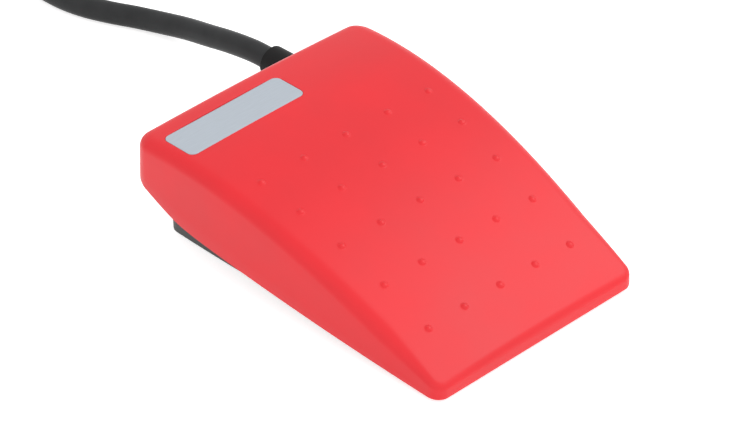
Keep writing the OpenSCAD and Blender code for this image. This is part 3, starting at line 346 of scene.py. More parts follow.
def coverSkin():
    # rings from the middle of the top out over the edge, down the wall, round the lip and back inside
    wall = cover["wall"]
    outer = planOutline(0, cover["length"], cover["frontWidth"] / 2, cover["rearWidth"] / 2,
                        cover["frontCorner"], cover["rearCorner"], cover["sideBow"])
    inner = planOutline(wall, cover["length"] - wall, halfAt(wall) - wall,
                        halfAt(cover["length"] - wall) - wall,
                        max(cover["frontCorner"] - wall, cover["innerCorner"]),
                        max(cover["rearCorner"] - wall, cover["innerCorner"]), cover["sideBow"])
    radius = edgeRadius(outer)
    quarter = np.linspace(0, math.pi / 2, 10)
    topShares, underShares = np.linspace(0.04, 0.975, 30), np.linspace(0.95, 0.06, 12)
    wallShares = (0.25, 0.5, 0.75)
    outerRim = edgeRing(outer, 0, radius, math.pi / 2)
    innerRim = edgeRing(inner, wallDrop(inner[:, 1]), cover["innerEdge"], math.pi / 2)
    rings = [capRing(outerRim, s, surfaceZ) for s in topShares]
    rings += [edgeRing(outer, 0, radius, a) for a in quarter[::-1]]
    wallTop, lipOut, lipIn = rings[-1], skirtRing(outer), skirtRing(inner)
    across = lipIn - lipOut
    across /= np.linalg.norm(across, axis=1)[:, None]
    r, up = cover["lipRound"], np.array([0, 0, 1.0])
    rings += [wallTop + (lipOut + up * r - wallTop) * s for s in wallShares]
    rings += [lipOut + across * r * (1 - math.cos(a)) + up * r * (1 - math.sin(a)) for a in quarter[::3]]
    rings += [lipIn - across * r * (1 - math.cos(a)) + up * r * (1 - math.sin(a)) for a in quarter[::-3]]
    rings += [edgeRing(inner, wallDrop(inner[:, 1]), cover["innerEdge"], a) for a in quarter[::3]]
    rings += [capRing(innerRim, s, underZ) for s in underShares]
    middle = cover["length"] / 2
    return ringSkin(np.array(rings), (0, middle, surfaceZ(0, middle)), (0, middle, underZ(0, middle)))


label = {"length": 41.0, "width": 11.9, "thickness": 0.5, "corner": 2.0, "rear": 14.2,
         "offset": 16.8, "gap": 0.12, "soft": 0.14, "insets": (0.6, 1.2, 1.9)}


def onLabel(shape):
    # from the plate's own flat frame to its seat, level with the cover at both ends
    y = cover["length"] - label["rear"]
    x0, x1 = -label["offset"] - label["length"] / 2, -label["offset"] + label["length"] / 2
    z = (surfaceZ(x0, y) + surfaceZ(x1, y)) / 2
    roll = math.atan((surfaceZ(x1, y) - surfaceZ(x0, y)) / label["length"])
    turn = Matrix.Rotation(-roll, 3, "Y") @ Matrix.Rotation(math.atan(topSlope(y)), 3, "X")
    return shape[0] @ np.array(turn).T + np.array([-label["offset"], y, z]), shape[1]


def plateOutline(length, width, corner, steps=8):
    # rectangle with a quarter circle at each corner
    a = np.linspace(0, math.pi / 2, steps + 1)
    quads = [(1, 1, 0), (-1, 1, 1), (-1, -1, 2), (1, -1, 3)]
    return np.vstack([np.stack([
        sx * (length / 2 - corner) + corner * np.cos(a + q * math.pi / 2),
        sy * (width / 2 - corner) + corner * np.sin(a + q * math.pi / 2)], -1) for sx, sy, q in quads])


print("stage: treadle cover")
grow = 2 * label["gap"]
pocket = onLabel(prism(plateOutline(label["length"] + grow, label["width"] + grow,
                                    label["corner"] + label["gap"]), -label["thickness"], 3, "z"))
notch = {"x": 28.5, "radius": 6.26, "top": 18.85, "front": 106.8}
notchArc = np.linspace(0, math.pi, 25)
notchProfile = np.vstack([[notch["x"] - notch["radius"], -2], [notch["x"] + notch["radius"], -2],
                          np.stack([notch["x"] + notch["radius"] * np.cos(notchArc),
                                    notch["top"] + notch["radius"] * np.sin(notchArc)], -1)])
coverShell = makePiece("coverShell", [coverSkin()], "pedal", ["pedal_cover"])
cutOut(coverShell, [pocket, prism(notchProfile, notch["front"], cover["length"] + 4, "y")])

dots = {"rows": 5, "columns": 5, "front": 14.2, "rowPitch": 15.1, "shrink": 0.4, "pitch": 12.5,
        "fan": 0.039, "radius": 1.1, "height": 0.5, "foot": 0.35, "footDepth": 0.02,
        "domeShare": 0.93, "bendShare": 0.8, "sunk": 0.5}


def dotProfile():
    # arc of a dome, then a quadratic curve that runs out into the surface, then a sunk foot
    r, h, f, low = dots["radius"], dots["height"], dots["foot"], dots["footDepth"]
    ball = (r ** 2 + h ** 2) / (2 * h)
    a = np.linspace(0, math.asin(r / ball) * dots["domeShare"], 8)
    dome = np.stack([ball * np.sin(a), h - ball + ball * np.cos(a)], -1)
    t = np.linspace(0.25, 1, 4)[:, None]
    end, foot = dome[-1], np.array([r + f, -low])
    slope = np.array([math.cos(a[-1]), -math.sin(a[-1])])
    bend = end + slope * (end[1] + low) / max(slope[1] * -1, 0.1) * dots["bendShare"]
    skirt = end * (1 - t) ** 2 + 2 * bend * t * (1 - t) + foot * t ** 2
    return np.vstack([dome, skirt, [[r + f, -dots["sunk"]]]])


def gripDotShapes():
    # rows close up towards the rear, columns fan out with y, and each dome leans with the slope
    profile, shapes = dotProfile(), []
    for i in range(dots["rows"]):
        y = dots["front"] + i * dots["rowPitch"] - dots["shrink"] * i * (i - 1) / 2
        tilt = np.array(Matrix.Rotation(math.atan(topSlope(y)), 3, "X"))
        for k in range(dots["columns"]):
            x = (k - (dots["columns"] - 1) / 2) * (dots["pitch"] + dots["fan"] * y)
            points, faces = lathe(profile, 28)
            shapes.append((points @ tilt.T + np.array([x, y, surfaceZ(x, y)]), faces))
    return shapes


gripDots = makePiece("gripDots", gripDotShapes(), "pedal", sharp=60)

inside = {"ribThickness": 1.6, "ribDrop": 3.2, "ribShares": (0.34, 0.8), "ribFronts": (18.0, 34.0),
          "ribRear": 14.5, "root": 0.55, "springX": 24.0, "springY": 76.0, "cup": 11.0, "cupDrop": 2.0,
          "spigot": 6.06, "spigotLength": 4.0, "hookX": 13.5, "hookWidth": 7.0, "hookThick": 1.8,
          "hookRear": 100.7, "hookTop": 14.5, "nose": 2.6, "noseReach": 3.3,
          "noseLip": 0.9, "noseRoot": 0.6, "noseRound": 0.35, "seatRoot": 1.2,
          "actuatorY": 64.0, "actuatorThick": 2.4, "actuatorWidth": 6.0, "actuatorGap": 0.3,
          "actuatorRound": 0.3}
inside["cupZ"] = underZ(inside["springX"], inside["springY"]) - inside["cupDrop"]


def webUnder(x, thick, y0, y1, lower):
    # upright web under the top; lower holds the (y, z) points of its lower edge, front to rear
    ys = np.linspace(y0, y1, 12)
    upper = np.stack([ys, underZ(x, ys) + cover["wall"] * inside["root"]], -1)
    return prism(np.vstack([lower, upper[::-1]]), x - thick / 2, x + thick / 2)


def longRib(x, front):
    # web of even depth from front to the rear wall
    ys = np.linspace(front, cover["length"] - inside["ribRear"], 30)
    return webUnder(x, inside["ribThickness"], ys[0], ys[-1],
                    np.stack([ys, underZ(x, ys) - inside["ribDrop"]], -1))


def knuckleShapes(x):
    # ring turned round the pin, hung from the top by a web with an arch for the bore
    r, bore = hinge["knuckle"], hinge["bore"]
    half = hinge["width"] / 2
    ring = roundedCorners([(bore, -half), (r, -half), (r, half), (bore, half)], hinge["edge"], 3)
    barrel = moved(turned(lathe(ring, 48, True), "x"), x, hinge["y"], hinge["z"])
    a = np.linspace(math.pi, 0, 13)
    arch = np.stack([hinge["y"] + hinge["arch"] * np.cos(a), hinge["z"] + hinge["arch"] * np.sin(a)], -1)
    lower = np.vstack([[hinge["y"] - r, hinge["z"]], arch, [hinge["y"] + r, hinge["z"]]])
    return [barrel, webUnder(x, hinge["width"], hinge["y"] - r, hinge["y"] + r, lower)]


def springSeatShapes(x):
    # round seat with a spigot for the spring, turned round an upright axis
    z, cup, pin = inside["cupZ"], inside["cup"] / 2, inside["spigot"] / 2
    tip, root = z - inside["spigotLength"], z + inside["cupDrop"] + inside["seatRoot"]
    profile = roundedCorners([(0, tip), (pin, tip), (pin, z), (cup, z), (cup, root), (0, root)],
                             [0, 0.8, 0.2, 0.5, 0, 0], 4, False)
    return [moved(lathe(profile, 40), x, inside["springY"])]


def hookShapes(x):
    # upright arm with a slanting nose that reaches back through the base's rear wall
    y1, top = inside["hookRear"], inside["hookTop"]
    y0, low = y1 - inside["hookThick"], top - inside["nose"]
    arm = webUnder(x, inside["hookWidth"], y0, y1, np.array([[y0, low], [y1, low]]))
    root, tip, soft = y0 + inside["noseRoot"], y1 + inside["noseReach"], inside["noseRound"]
    nose = roundedCorners([(root, low), (y1, low), (tip, top - inside["noseLip"]), (tip, top), (root, top)],
                          [0, 0, soft, soft, 0], 3)
    return [arm, prism(nose, x - inside["hookWidth"] / 2, x + inside["hookWidth"] / 2)]


lever = {"pivotY": 50.5, "pivotZ": 19.6, "rise": 17.5, "thick": 0.4}


def actuatorShapes():
    # web that ends in a round bar, a small gap above the sloping lever
    t, w, y = inside["actuatorThick"], inside["actuatorWidth"], inside["actuatorY"]
    slope = math.radians(lever["rise"])
    z = lever["pivotZ"] + (y - lever["pivotY"]) * math.tan(slope) + (
        lever["thick"] / 2 + inside["actuatorGap"] + t / 2) / math.cos(slope)
    web = webUnder(0, w, y - t / 2, y + t / 2, np.array([[y - t / 2, z], [y + t / 2, z]]))
    soft = inside["actuatorRound"]
    bar = roundedCorners([(0, -w / 2), (t / 2, -w / 2), (t / 2, w / 2), (0, w / 2)],
                         [0, soft, soft, 0], 3, False)
    return [web, moved(turned(lathe(bar, 28), "x"), 0, y, z)]


ribShapes = actuatorShapes()
for side in (-1, 1):
    for share, front in zip(inside["ribShares"], inside["ribFronts"]):
        ribShapes.append(longRib(side * share * halfAt(inside["ribFronts"][0]), front))
    ribShapes += springSeatShapes(side * inside["springX"]) + hookShapes(side * inside["hookX"])
    ribShapes += knuckleShapes(side * hinge["x"])
coverRibs = makePiece("coverRibs", ribShapes, "pedal")

print("stage: label plate")


def labelSkin():
    # rings of the rounded outline, moved in and up round a quarter circle along the upper rim
    def ring(inset, z):
        # outline moved in and laid at one height
        line = plateOutline(label["length"] - 2 * inset, label["width"] - 2 * inset, label["corner"] - inset)
        return np.column_stack([line, np.full(len(line), z)])
    soft = label["soft"]
    a = np.linspace(0, math.pi / 2, 5)
    rings = [ring(0, -label["thickness"])]
    rings += [ring(soft * (1 - math.cos(k)), -soft * (1 - math.sin(k))) for k in a]
    rings += [ring(inset, 0) for inset in label["insets"]]
    return ringSkin(np.array(rings), (0, 0, -label["thickness"]), (0, 0, 0))


labelPlate = makePiece("labelPlate", [onLabel(labelSkin())], "pedal", ["label_plate"], 50)


softenFrom = math.radians(48)  # pieces that keep their solids get bevels where edges turn by more


def markSoftEdges(work, crisp):
    # edges that turn by more than softenFrom get weight 1, unless they lie inside the crisp box
    weight = work.edges.layers.float.new("bevel_weight_edge")
    low, high = (np.array(corner) for corner in crisp)
    for edge in work.edges:
        middle = np.array((edge.verts[0].co + edge.verts[1].co) / 2) / mm + np.array([0, originY, 0])
        middle[0] = abs(middle[0])
        inBox = bool(np.all(middle > low) and np.all(middle < high))
        if not inBox and len(edge.link_faces) == 2 and edge.calc_face_angle() > softenFrom:
            edge[weight] = 1.0


def carried(name, node, body, slot, soften=0.0, sharp=32, crisp=None):
    # copy of a node with its doubles merged, shaded smooth between sharp edges and bevelled along them
    mesh = nodes[node].data.copy()
    mesh.name = name
    work = bmesh.new()
    work.from_mesh(mesh)
    bmesh.ops.remove_doubles(work, verts=work.verts, dist=2e-6)
    bmesh.ops.dissolve_limit(work, angle_limit=math.radians(0.4), verts=work.verts, edges=work.edges)
    if crisp:
        markSoftEdges(work, crisp)
    work.to_mesh(mesh)
    work.free()
    mesh.materials.clear()
    mesh.shade_smooth()
    mesh.set_sharp_from_angle(angle=math.radians(sharp))
    piece = bpy.data.objects.new(name, mesh)
    bpy.context.scene.collection.objects.link(piece)
    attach(piece, body)
    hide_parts(node)
    if soften:
        change = piece.modifiers.new("soften", "BEVEL")
        change.width, change.segments = soften * mm, 2
        change.limit_method, change.angle_limit = "WEIGHT" if crisp else "ANGLE", softenFrom
        change.harden_normals = True
        change.use_clamp_overlap = True
    return piece


print("stage: base and switch")
knuckleRoom = ((20.0, 10.5, 0.0), (28.0, 17.5, 3.2))  # narrow strips of floor beside the hinge knuckles
baseBody = carried("baseBody", "base_housing", "base", "base_plastic", 0.25, crisp=knuckleRoom)
switchPieces = {
    "switchCase": ("switch_case", "base", "switch_plastic", 0.12),
    "switchLid": ("switch_lid", "base", "switch_lid_plastic", 0.12),
    "switchPlunger": ("switch_plunger", "plunger", "plunger_plastic", 0.0),
    "switchLever": ("switch_lever", "lever", "lever_steel", 0.04),
    "leverPin": ("lever_pin", "base", "pin_steel", 0.05),
    "contactBlade": ("contact_blade", "blade", "blade_metal", 0.03),
    "terminalCommon": ("terminal_common", "base", "terminal_brass", 0.04),
    "terminalOpen": ("terminal_open", "base", "terminal_brass", 0.04),
    "terminalClosed": ("terminal_closed", "base", "terminal_brass", 0.04),
    "cableClamp": ("cable_clamp", "base", "clamp_plastic", 0.2),
}
made = {name: carried(name, *facts) for name, facts in switchPieces.items()}

# Hinge pins
half, r, soft = hinge["pinLength"] / 2, hinge["pinRadius"], hinge["pinRound"]
pinShape = turned(lathe(roundedCorners([(0, -half), (r, -half), (r, half), (0, half)],
                                       [0, soft, soft, 0], 4, False), 36), "x")
for name, side, node in (("hingePinLeft", -1, "hinge_pin_left"), ("hingePinRight", 1, "hinge_pin_right")):
    made[name] = makePiece(name, [moved(pinShape, side * hinge["x"], hinge["y"], hinge["z"])],
                           "base", [node])

# Screws: pan heads with a round recess, on plain shanks
screw = {"shank": 1.0, "head": 1.9, "headHeight": 1.3, "recess": 0.62, "recessDepth": 0.5,
         "rounds": [0, 0.3, 0, 0.1, 0.7, 0.12, 0, 0]}


def screwShapes(length):
    # stands along Z with the head's underside at 0 and the shank below it
    s, h, top, hole = screw["shank"], screw["head"], screw["headHeight"], screw["recess"]
    bottom = top - screw["recessDepth"]
    return lathe(roundedCorners([(0, -length), (s, -length), (s, 0), (h, 0), (h, top), (hole, top),
                                 (hole, bottom), (0, bottom)], screw["rounds"], 4, False), 36)


clampScrew = {"x": 21.9, "y": 95.3, "seat": 14.7, "foot": 5.0}
made["clampScrew"] = makePiece(
    "clampScrew", [moved(screwShapes(clampScrew["seat"] - clampScrew["foot"]),
                         clampScrew["x"], clampScrew["y"], clampScrew["seat"])],
    "base", ["clamp_screw"])
switchScrew = {"seatX": -3.2, "tipX": 5.7, "y": 58.0, "pitch": 9.5, "z": 11.0}
shank = switchScrew["tipX"] - switchScrew["seatX"]
lying = mirrored(turned(screwShapes(shank), "x"))
made["switchScrews"] = makePiece(
    "switchScrews", [moved(lying, switchScrew["seatX"], switchScrew["y"] + k * switchScrew["pitch"] / 2,
                           switchScrew["z"]) for k in (-1, 1)],
    "base", ["switch_screws"])

# Rubber feet, with a shallow dish in the sole
feet = {"radius": 4.5, "thick": 2.0, "dish": 2.6, "dishRim": 2.9, "dishDepth": 0.25,
        "rounds": [0, 0.3, 0.2, 0.5, 0.2, 0], "front": (22.4, 28.0), "rear": (25.989, 95.0)}
footShape = lathe(roundedCorners(
    [(0, feet["dishDepth"]), (feet["dish"], feet["dishDepth"]), (feet["dishRim"], 0), (feet["radius"], 0),
     (feet["radius"], feet["thick"]), (0, feet["thick"])], feet["rounds"], 4, False), 40)
rubberFeet = makePiece("rubberFeet", [moved(footShape, s * x, y) for s in (-1, 1)
                                      for x, y in (feet["front"], feet["rear"])],
                       "base", ["rubber_feet"])

# Return springs: helices from the base's floor up to the cover's seats
spring = {"radius": 3.75, "wire": 0.45, "turns": 8, "gap": 0.05, "floor": 3.0, "endPitch": 1.44,
          "steps": 28}


def springPath():
    # helix with a small even rise in its first and last turn and an even one between them
    t = np.arange(spring["steps"] * spring["turns"] + 1) / spring["steps"]
    height = inside["cupZ"] - spring["floor"] - 2 * spring["gap"]
    free = height - 2 * spring["wire"] - 2 * spring["endPitch"]
    n, p = spring["turns"], spring["endPitch"]
    z = np.where(t > n - 1, p + free + (t - n + 1) * p, p + free * (t - 1) / (n - 2))
    z = np.where(t < 1, t * p, z)
    a = fullTurn * t
    return np.stack([spring["radius"] * np.cos(a), spring["radius"] * np.sin(a),
                     spring["floor"] + spring["gap"] + spring["wire"] + z], -1)


springShape = tubeAlong(springPath(), spring["wire"], 12, 0.1)
springs = []
for name, side, node in (("springLeft", -1, "return_spring_left"), ("springRight", 1, "return_spring_right")):
    wound = mirrored(springShape) if side < 0 else springShape
    piece = makePiece(name, [moved(wound, side * inside["springX"], inside["springY"])], None, [node],
                      60)
    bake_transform(piece)
    springs.append(piece)

print("stage: lead")
lead = {"diameter": 6.6, "x": 28.5, "z": 12.0, "innerEnd": 89.3, "reliefEnd": 133.0, "core": 1.1,
        "spread": 1.32}
relief = {"innerFace": 100.2, "wall": 102.2, "outerFace": 104.6, "neck": 4.5, "flange": 6.0, "inner": 5.6,
          "root": 5.5, "end": 4.6, "bore": 3.35, "collar": 2.0,
          "rounds": [0.1, 0.3, 0.3, 0, 0, 0.4, 0.5, 0.3, 1.6, 0.3],
          "flatReach": 12, "flatTop": 24, "flatFront": 98, "flatSpare": 0.02}
reliefLine = [(relief["bore"], relief["innerFace"]), (relief["inner"], relief["innerFace"]),
              (relief["inner"], relief["wall"]), (relief["neck"], relief["wall"]),
              (relief["neck"], relief["outerFace"]), (relief["flange"], relief["outerFace"]),
              (relief["flange"], relief["outerFace"] + relief["collar"]),
              (relief["root"], relief["outerFace"] + relief["collar"]),
              (relief["end"], lead["reliefEnd"]), (relief["bore"], lead["reliefEnd"])]
reliefShape = moved(turned(lathe(roundedCorners(reliefLine, relief["rounds"], 6), 56, True), "y"),
                    lead["x"], 0, lead["z"])
strainRelief = makePiece("strainRelief", [reliefShape], "base", ["strain_relief"], 50)
flatIn, flatOut = lead["x"] + relief["neck"], lead["x"] + relief["flatReach"]
cutOut(strainRelief, [prism([(flatIn, 0), (flatOut, 0), (flatOut, relief["flatTop"]),
                             (flatIn, relief["flatTop"])],
                            relief["flatFront"], relief["wall"] + relief["flatSpare"], "y")], 50)

sheathEnd = makePiece("sheathEnd", [tubeAlong(np.linspace(
    (lead["x"], lead["innerEnd"], lead["z"]), (lead["x"], lead["reliefEnd"], lead["z"]), 8),
    lead["diameter"] / 2, 24, 0.35)],
    "base", ["cable_end"])

coreRoutes = {
    "coreCommon": ("core_common", "core_blue", 210, 50.3, [
        (26.9, 87.3, 10.8), (23.6, 85.2, 8.6), (17.4, 84.2, 5.6), (12, 81.2, 4.4), (7.2, 75.8, 4.3),
        (-1, 72.8, 4.3), (-6.6, 68.4, 4.3), (-7.2, 60, 4.3), (-6, 54, 4.8), (-2.8, 52.1, 6.1)]),
    "coreOpen": ("core_open", "core_brown", 90, 59.4, [
        (28.4, 86.7, 13.1), (25.2, 83.4, 11), (18.2, 81.6, 6.8), (13.8, 78.2, 4.6), (9, 72.9, 4.3),
        (1, 70.2, 4.3), (-3.4, 67.4, 4.3), (-4, 63.6, 4.9), (-2.4, 61.3, 6.1)]),
    "coreClosed": ("core_closed", "core_black", -30, 65.7, [
        (29.6, 86.6, 10.6), (27, 83, 7.2), (21.4, 82.2, 4.4), (17.4, 77.4, 4.3), (12.6, 71.2, 4.3),
        (7.2, 69, 5), (3, 67.7, 6.1)]),
}
terminal = {"halfThick": 0.25, "gap": 0.05, "joinZ": 6.5}
for name, (node, slot, angle, y, route) in coreRoutes.items():
    a = math.radians(angle)
    start = (lead["x"] + lead["spread"] * math.cos(a), lead["innerEnd"],
             lead["z"] + lead["spread"] * math.sin(a))
    route = [start] + route + [(0, y + terminal["halfThick"] + lead["core"] + terminal["gap"],
                                terminal["joinZ"])]
    made[name] = makePiece(name, [tubeAlong(throughPoints(route, 6), lead["core"], 16, 0.15)],
                           "base", [node])

# Free lead: the route's points are those of the part's source, then the coil
cableRoute = [(28.5, 133, 12), (28.5, 140, 11.7), (28.5, 150, 10), (28.5, 159, 7.9), (28.5, 169, 5.6),
              (27, 178, 4), (24, 186.5, 3.4), (20.5, 193.5, 3.3), (17, 202, 3.3), (15.2, 211, 3.3),
              (15.4, 220, 3.3), (18.2, 229.5, 3.4), (23.5, 238.5, 3.6), (30, 247.5, 3.9)]
coil = {"x": 8.0, "y": 306.0, "start": -34.0, "inner": 27.2, "pitch": 7.05, "turns": 3.5, "dip": 1.3,
        "low": 4.3}
coil["outer"] = coil["inner"] + coil["pitch"] * coil["turns"]


def coilAt(t):
    # lower layer winds in, half a turn climbs, upper layer winds out
    n, p = coil["turns"], coil["pitch"]
    climb = np.clip(2 * (t - n), 0, 1)
    crossing = coil["inner"] - coil["dip"] * np.sin(math.pi * climb)
    r = np.where(t > n + 0.5, coil["inner"] + p * (t - n - 0.5), crossing)
    r = np.where(t < n, coil["outer"] - p * t, r)
    a = math.radians(coil["start"]) + fullTurn * t
    return np.stack([coil["x"] + r * np.cos(a), coil["y"] + r * np.sin(a),
                     coil["low"] + p / 2 * (1 - np.cos(math.pi * climb))], -1)


coilBody = coilAt(np.arange(40 * (2 * coil["turns"] + 0.5) + 1) / 40)
allTurns, sourceStep = 2 * coil["turns"] + 0.5, 1 / 24  # the part's source draws a turn in 24 steps
sourceSteps = coilAt(np.array([0, sourceStep, allTurns - sourceStep, allTurns]))
startWay = (sourceSteps[1] - sourceSteps[0]) / np.linalg.norm(sourceSteps[1] - sourceSteps[0])
endWay = (sourceSteps[3] - sourceSteps[2]) / np.linalg.norm(sourceSteps[3] - sourceSteps[2])
coilIn = coilBody[0] - startWay * lead["diameter"]
coilOut = coilBody[-1] + endWay * lead["diameter"]
freePath = throughPoints(cableRoute + [tuple(coilIn - 2 * lead["diameter"] * startWay), tuple(coilIn)], 5)
leadPath = np.vstack([freePath, coilBody, coilOut])
leadTube = makePiece("leadTube", [tubeAlong(leadPath, lead["diameter"] / 2, 20, 0.35)], "base",
                     ["cable", "cable_coil"], 60)

# Bare cores at the far end, lying along the coil
tails = {"length": 36.0, "tinned": 7.0, "angles": (90, 210, 330), "spreads": (0.6, -0.2, 2.4), "sink": 1.5,
         "tinRadius": 0.55, "tinOverlap": 0.4}
tailSide = np.cross(endWay, [0, 0, 1.0])
tailSide /= np.linalg.norm(tailSide)


def tailPath(i, s0, s1, count):
    # arc that goes on round the coil, and spreads and sinks with the square of the way along it
    s = np.linspace(s0, s1, count)[:, None]
    t, turn, a = s / tails["length"], s / coil["outer"], math.radians(tails["angles"][i])
    return (coilOut + endWay * coil["outer"] * np.sin(turn) - tailSide * coil["outer"] * (1 - np.cos(turn))
            + tailSide * (lead["spread"] * math.cos(a) + tails["spreads"][i] * t ** 2)
            + np.array([0, 0, 1.0]) * (lead["spread"] * math.sin(a) - tails["sink"] * t ** 2))


bareFrom = tails["length"] - tails["tinned"]
tailNames = ("tailBrown", "tailBlack", "tailBlue")
tailPieces = [makePiece(tailNames[i], [tubeAlong(tailPath(i, 0, bareFrom, 24), lead["core"], 16, 0.15)],
                        "base", ["core_tails"] if i == 0 else []) for i in range(3)]
tinFrom = bareFrom - tails["tinOverlap"]
tinnedEnds = makePiece("tinnedEnds", [tubeAlong(tailPath(i, tinFrom, tails["length"], 12),
                                                tails["tinRadius"], 14, 0.15) for i in range(3)],
                       "base", ["tinned_ends"])

# Ties: a flat strap round the coil's section at two places
tie = {"thick": 1.0, "width": 4.0, "angles": (60, 240), "room": 0.3, "corner": 2.4, "seat": 0.05,
       "soft": 0.2, "softShare": 0.3}


def tieShape(angle):
    # rounded band carried round the turns' section, standing square to them
    low = coil["inner"] - coil["dip"] - lead["diameter"] / 2 - tie["room"]
    high = coil["outer"] + lead["diameter"] / 2 + tie["room"]
    top = coil["low"] + coil["pitch"] + lead["diameter"] / 2 + tie["room"]
    t = tie["thick"]
    inner = np.array([(low, t), (high, t), (high, top), (low, top)]) - np.array([0, tie["seat"]])
    outer = np.array([(low - t, 0), (high + t, 0), (high + t, top + t), (low - t, top + t)])
    inLine = roundedCorners(inner, tie["corner"] - t, 6)
    outLine = roundedCorners(outer, tie["corner"], 6)
    w, soft = tie["width"] / 2, tie["soft"]
    mid = (inLine + outLine) / 2
    inSoft, outSoft = (line + (mid - line) * tie["softShare"] for line in (inLine, outLine))
    rows = [(inLine, -w + soft), (inSoft, -w), (outSoft, -w), (outLine, -w + soft),
            (outLine, w - soft), (outSoft, w), (inSoft, w), (inLine, w - soft)]
    rings = np.array([np.column_stack([line[:, 0], np.full(len(line), y), line[:, 1]]) for line, y in rows])
    m, n = rings.shape[:2]
    turn = np.array(Matrix.Rotation(math.radians(angle), 3, "Z"))
    return moved((rings.reshape(-1, 3) @ turn.T, gridFaces(m, n, True)), coil["x"], coil["y"])


coilTies = makePiece("coilTies", [tieShape(a) for a in tie["angles"]], "base", ["coil_ties"],
                     35)

print("stage: materials")


def addNode(tree, kind, **values):
    # new shader node with its settings
    node = tree.nodes.new(kind)
    for key, value in values.items():
        setattr(node, key, value)
    return node


def mouldedMaterial(name, colour, roughness, grain=(3200, 0.25, 0.00004), mottle=(60, 0.05),
                    roughSpread=0.06, specular=0.5, metallic=0.0, streak=None):
    # noise mixes two tones of the colour, varies the roughness and lifts a fine grain
    material = bpy.data.materials.new(name)
    material.use_nodes = True
    tree = material.node_tree
    shader = tree.nodes["Principled BSDF"]
    shader.inputs["Metallic"].default_value = metallic
    shader.inputs["Specular IOR Level"].default_value = specular
    place = addNode(tree, "ShaderNodeTexCoord")
    source = place.outputs["Object"]
    if streak:
        mapping = addNode(tree, "ShaderNodeMapping")
        mapping.inputs["Scale"].default_value = streak
        tree.links.new(source, mapping.inputs["Vector"])
        source = mapping.outputs["Vector"]
    patch = addNode(tree, "ShaderNodeTexNoise")
    patch.inputs["Scale"].default_value = mottle[0]
    patch.inputs["Detail"].default_value = 4
    tree.links.new(source, patch.inputs["Vector"])
    ramp = addNode(tree, "ShaderNodeValToRGB")
    low, high = (tuple(min(1, c * (1 + s * mottle[1])) for c in colour) + (1,) for s in (-1, 1))
    ramp.color_ramp.elements[0].position, ramp.color_ramp.elements[0].color = 0.3, low
    ramp.color_ramp.elements[1].position, ramp.color_ramp.elements[1].color = 0.7, high
    tree.links.new(patch.outputs["Fac"], ramp.inputs["Fac"])
    tree.links.new(ramp.outputs["Color"], shader.inputs["Base Color"])
    spread = addNode(tree, "ShaderNodeMapRange")
    spread.inputs["To Min"].default_value = roughness - roughSpread
    spread.inputs["To Max"].default_value = roughness + roughSpread
    tree.links.new(patch.outputs["Fac"], spread.inputs["Value"])
    tree.links.new(spread.outputs["Result"], shader.inputs["Roughness"])
    fine = addNode(tree, "ShaderNodeTexNoise")
    fine.inputs["Scale"].default_value = grain[0]
    fine.inputs["Detail"].default_value = 3
    fine.inputs["Roughness"].default_value = 0.6
    tree.links.new(source, fine.inputs["Vector"])
    bump = addNode(tree, "ShaderNodeBump")
    bump.inputs["Strength"].default_value = grain[1]
    bump.inputs["Distance"].default_value = grain[2]
    tree.links.new(fine.outputs["Fac"], bump.inputs["Height"])
    tree.links.new(bump.outputs["Normal"], shader.inputs["Normal"])
    return material


redPlastic = mouldedMaterial("redPlastic", (0.83, 0.012, 0.021), 0.42, (2600, 0.35, 0.00005), (45, 0.04))
labelMetal = mouldedMaterial("labelMetal", (0.49, 0.54, 0.60), 0.42, (900, 0.1, 0.00002), (220, 0.04),
                             metallic=0.25, streak=(1, 14, 1))
basePlastic = mouldedMaterial("basePlastic", (0.052, 0.056, 0.054), 0.5, (2200, 0.4, 0.00006), (70, 0.12),
                              specular=0.4)
sheathRubber = mouldedMaterial("sheathRubber", (0.038, 0.039, 0.040), 0.4, (1500, 0.2, 0.00004),
                               (160, 0.12), specular=0.1)
reliefRubber = mouldedMaterial("reliefRubber", (0.016, 0.016, 0.016), 0.5, (1800, 0.3, 0.00005), (140, 0.15),
                               specular=0.08)
footRubber = mouldedMaterial("footRubber", (0.013, 0.013, 0.013), 0.75, (2600, 0.5, 0.00008), (200, 0.2))
casePlastic = mouldedMaterial("casePlastic", (0.018, 0.019, 0.022), 0.4, (3800, 0.2, 0.00003), (200, 0.1))
lidPlastic = mouldedMaterial("lidPlastic", (0.028, 0.03, 0.034), 0.45, (3800, 0.2, 0.00003), (200, 0.1))
plungerPlastic = mouldedMaterial("plungerPlastic", (0.62, 0.07, 0.035), 0.3, (4000, 0.1, 0.00002),
                                 (300, 0.06))
clampPlastic = mouldedMaterial("clampPlastic", (0.028, 0.028, 0.03), 0.55, (2600, 0.3, 0.00005), (160, 0.12))
tiePlastic = mouldedMaterial("tiePlastic", (0.013, 0.013, 0.014), 0.6, (5200, 0.8, 0.00012), (300, 0.25),
                             specular=0.3)
pinSteel = mouldedMaterial("pinSteel", (0.6, 0.6, 0.61), 0.28, (1500, 0.15, 0.00002), (400, 0.05),
                           metallic=1.0, streak=(1, 9, 9))
springSteel = mouldedMaterial("springSteel", (0.52, 0.53, 0.55), 0.3, (3000, 0.15, 0.00002), (500, 0.08),
                              metallic=1.0)
leverSteel = mouldedMaterial("leverSteel", (0.62, 0.63, 0.64), 0.33, (1200, 0.2, 0.00002), (500, 0.05),
                             metallic=1.0, streak=(12, 1, 1))
screwSteel = mouldedMaterial("screwSteel", (0.58, 0.58, 0.6), 0.35, (3000, 0.15, 0.00002), (500, 0.08),
                             metallic=1.0)
bladeMetal = mouldedMaterial("bladeMetal", (0.62, 0.34, 0.13), 0.26, (1500, 0.1, 0.00002), (500, 0.06),
                             metallic=1.0, streak=(10, 1, 1))
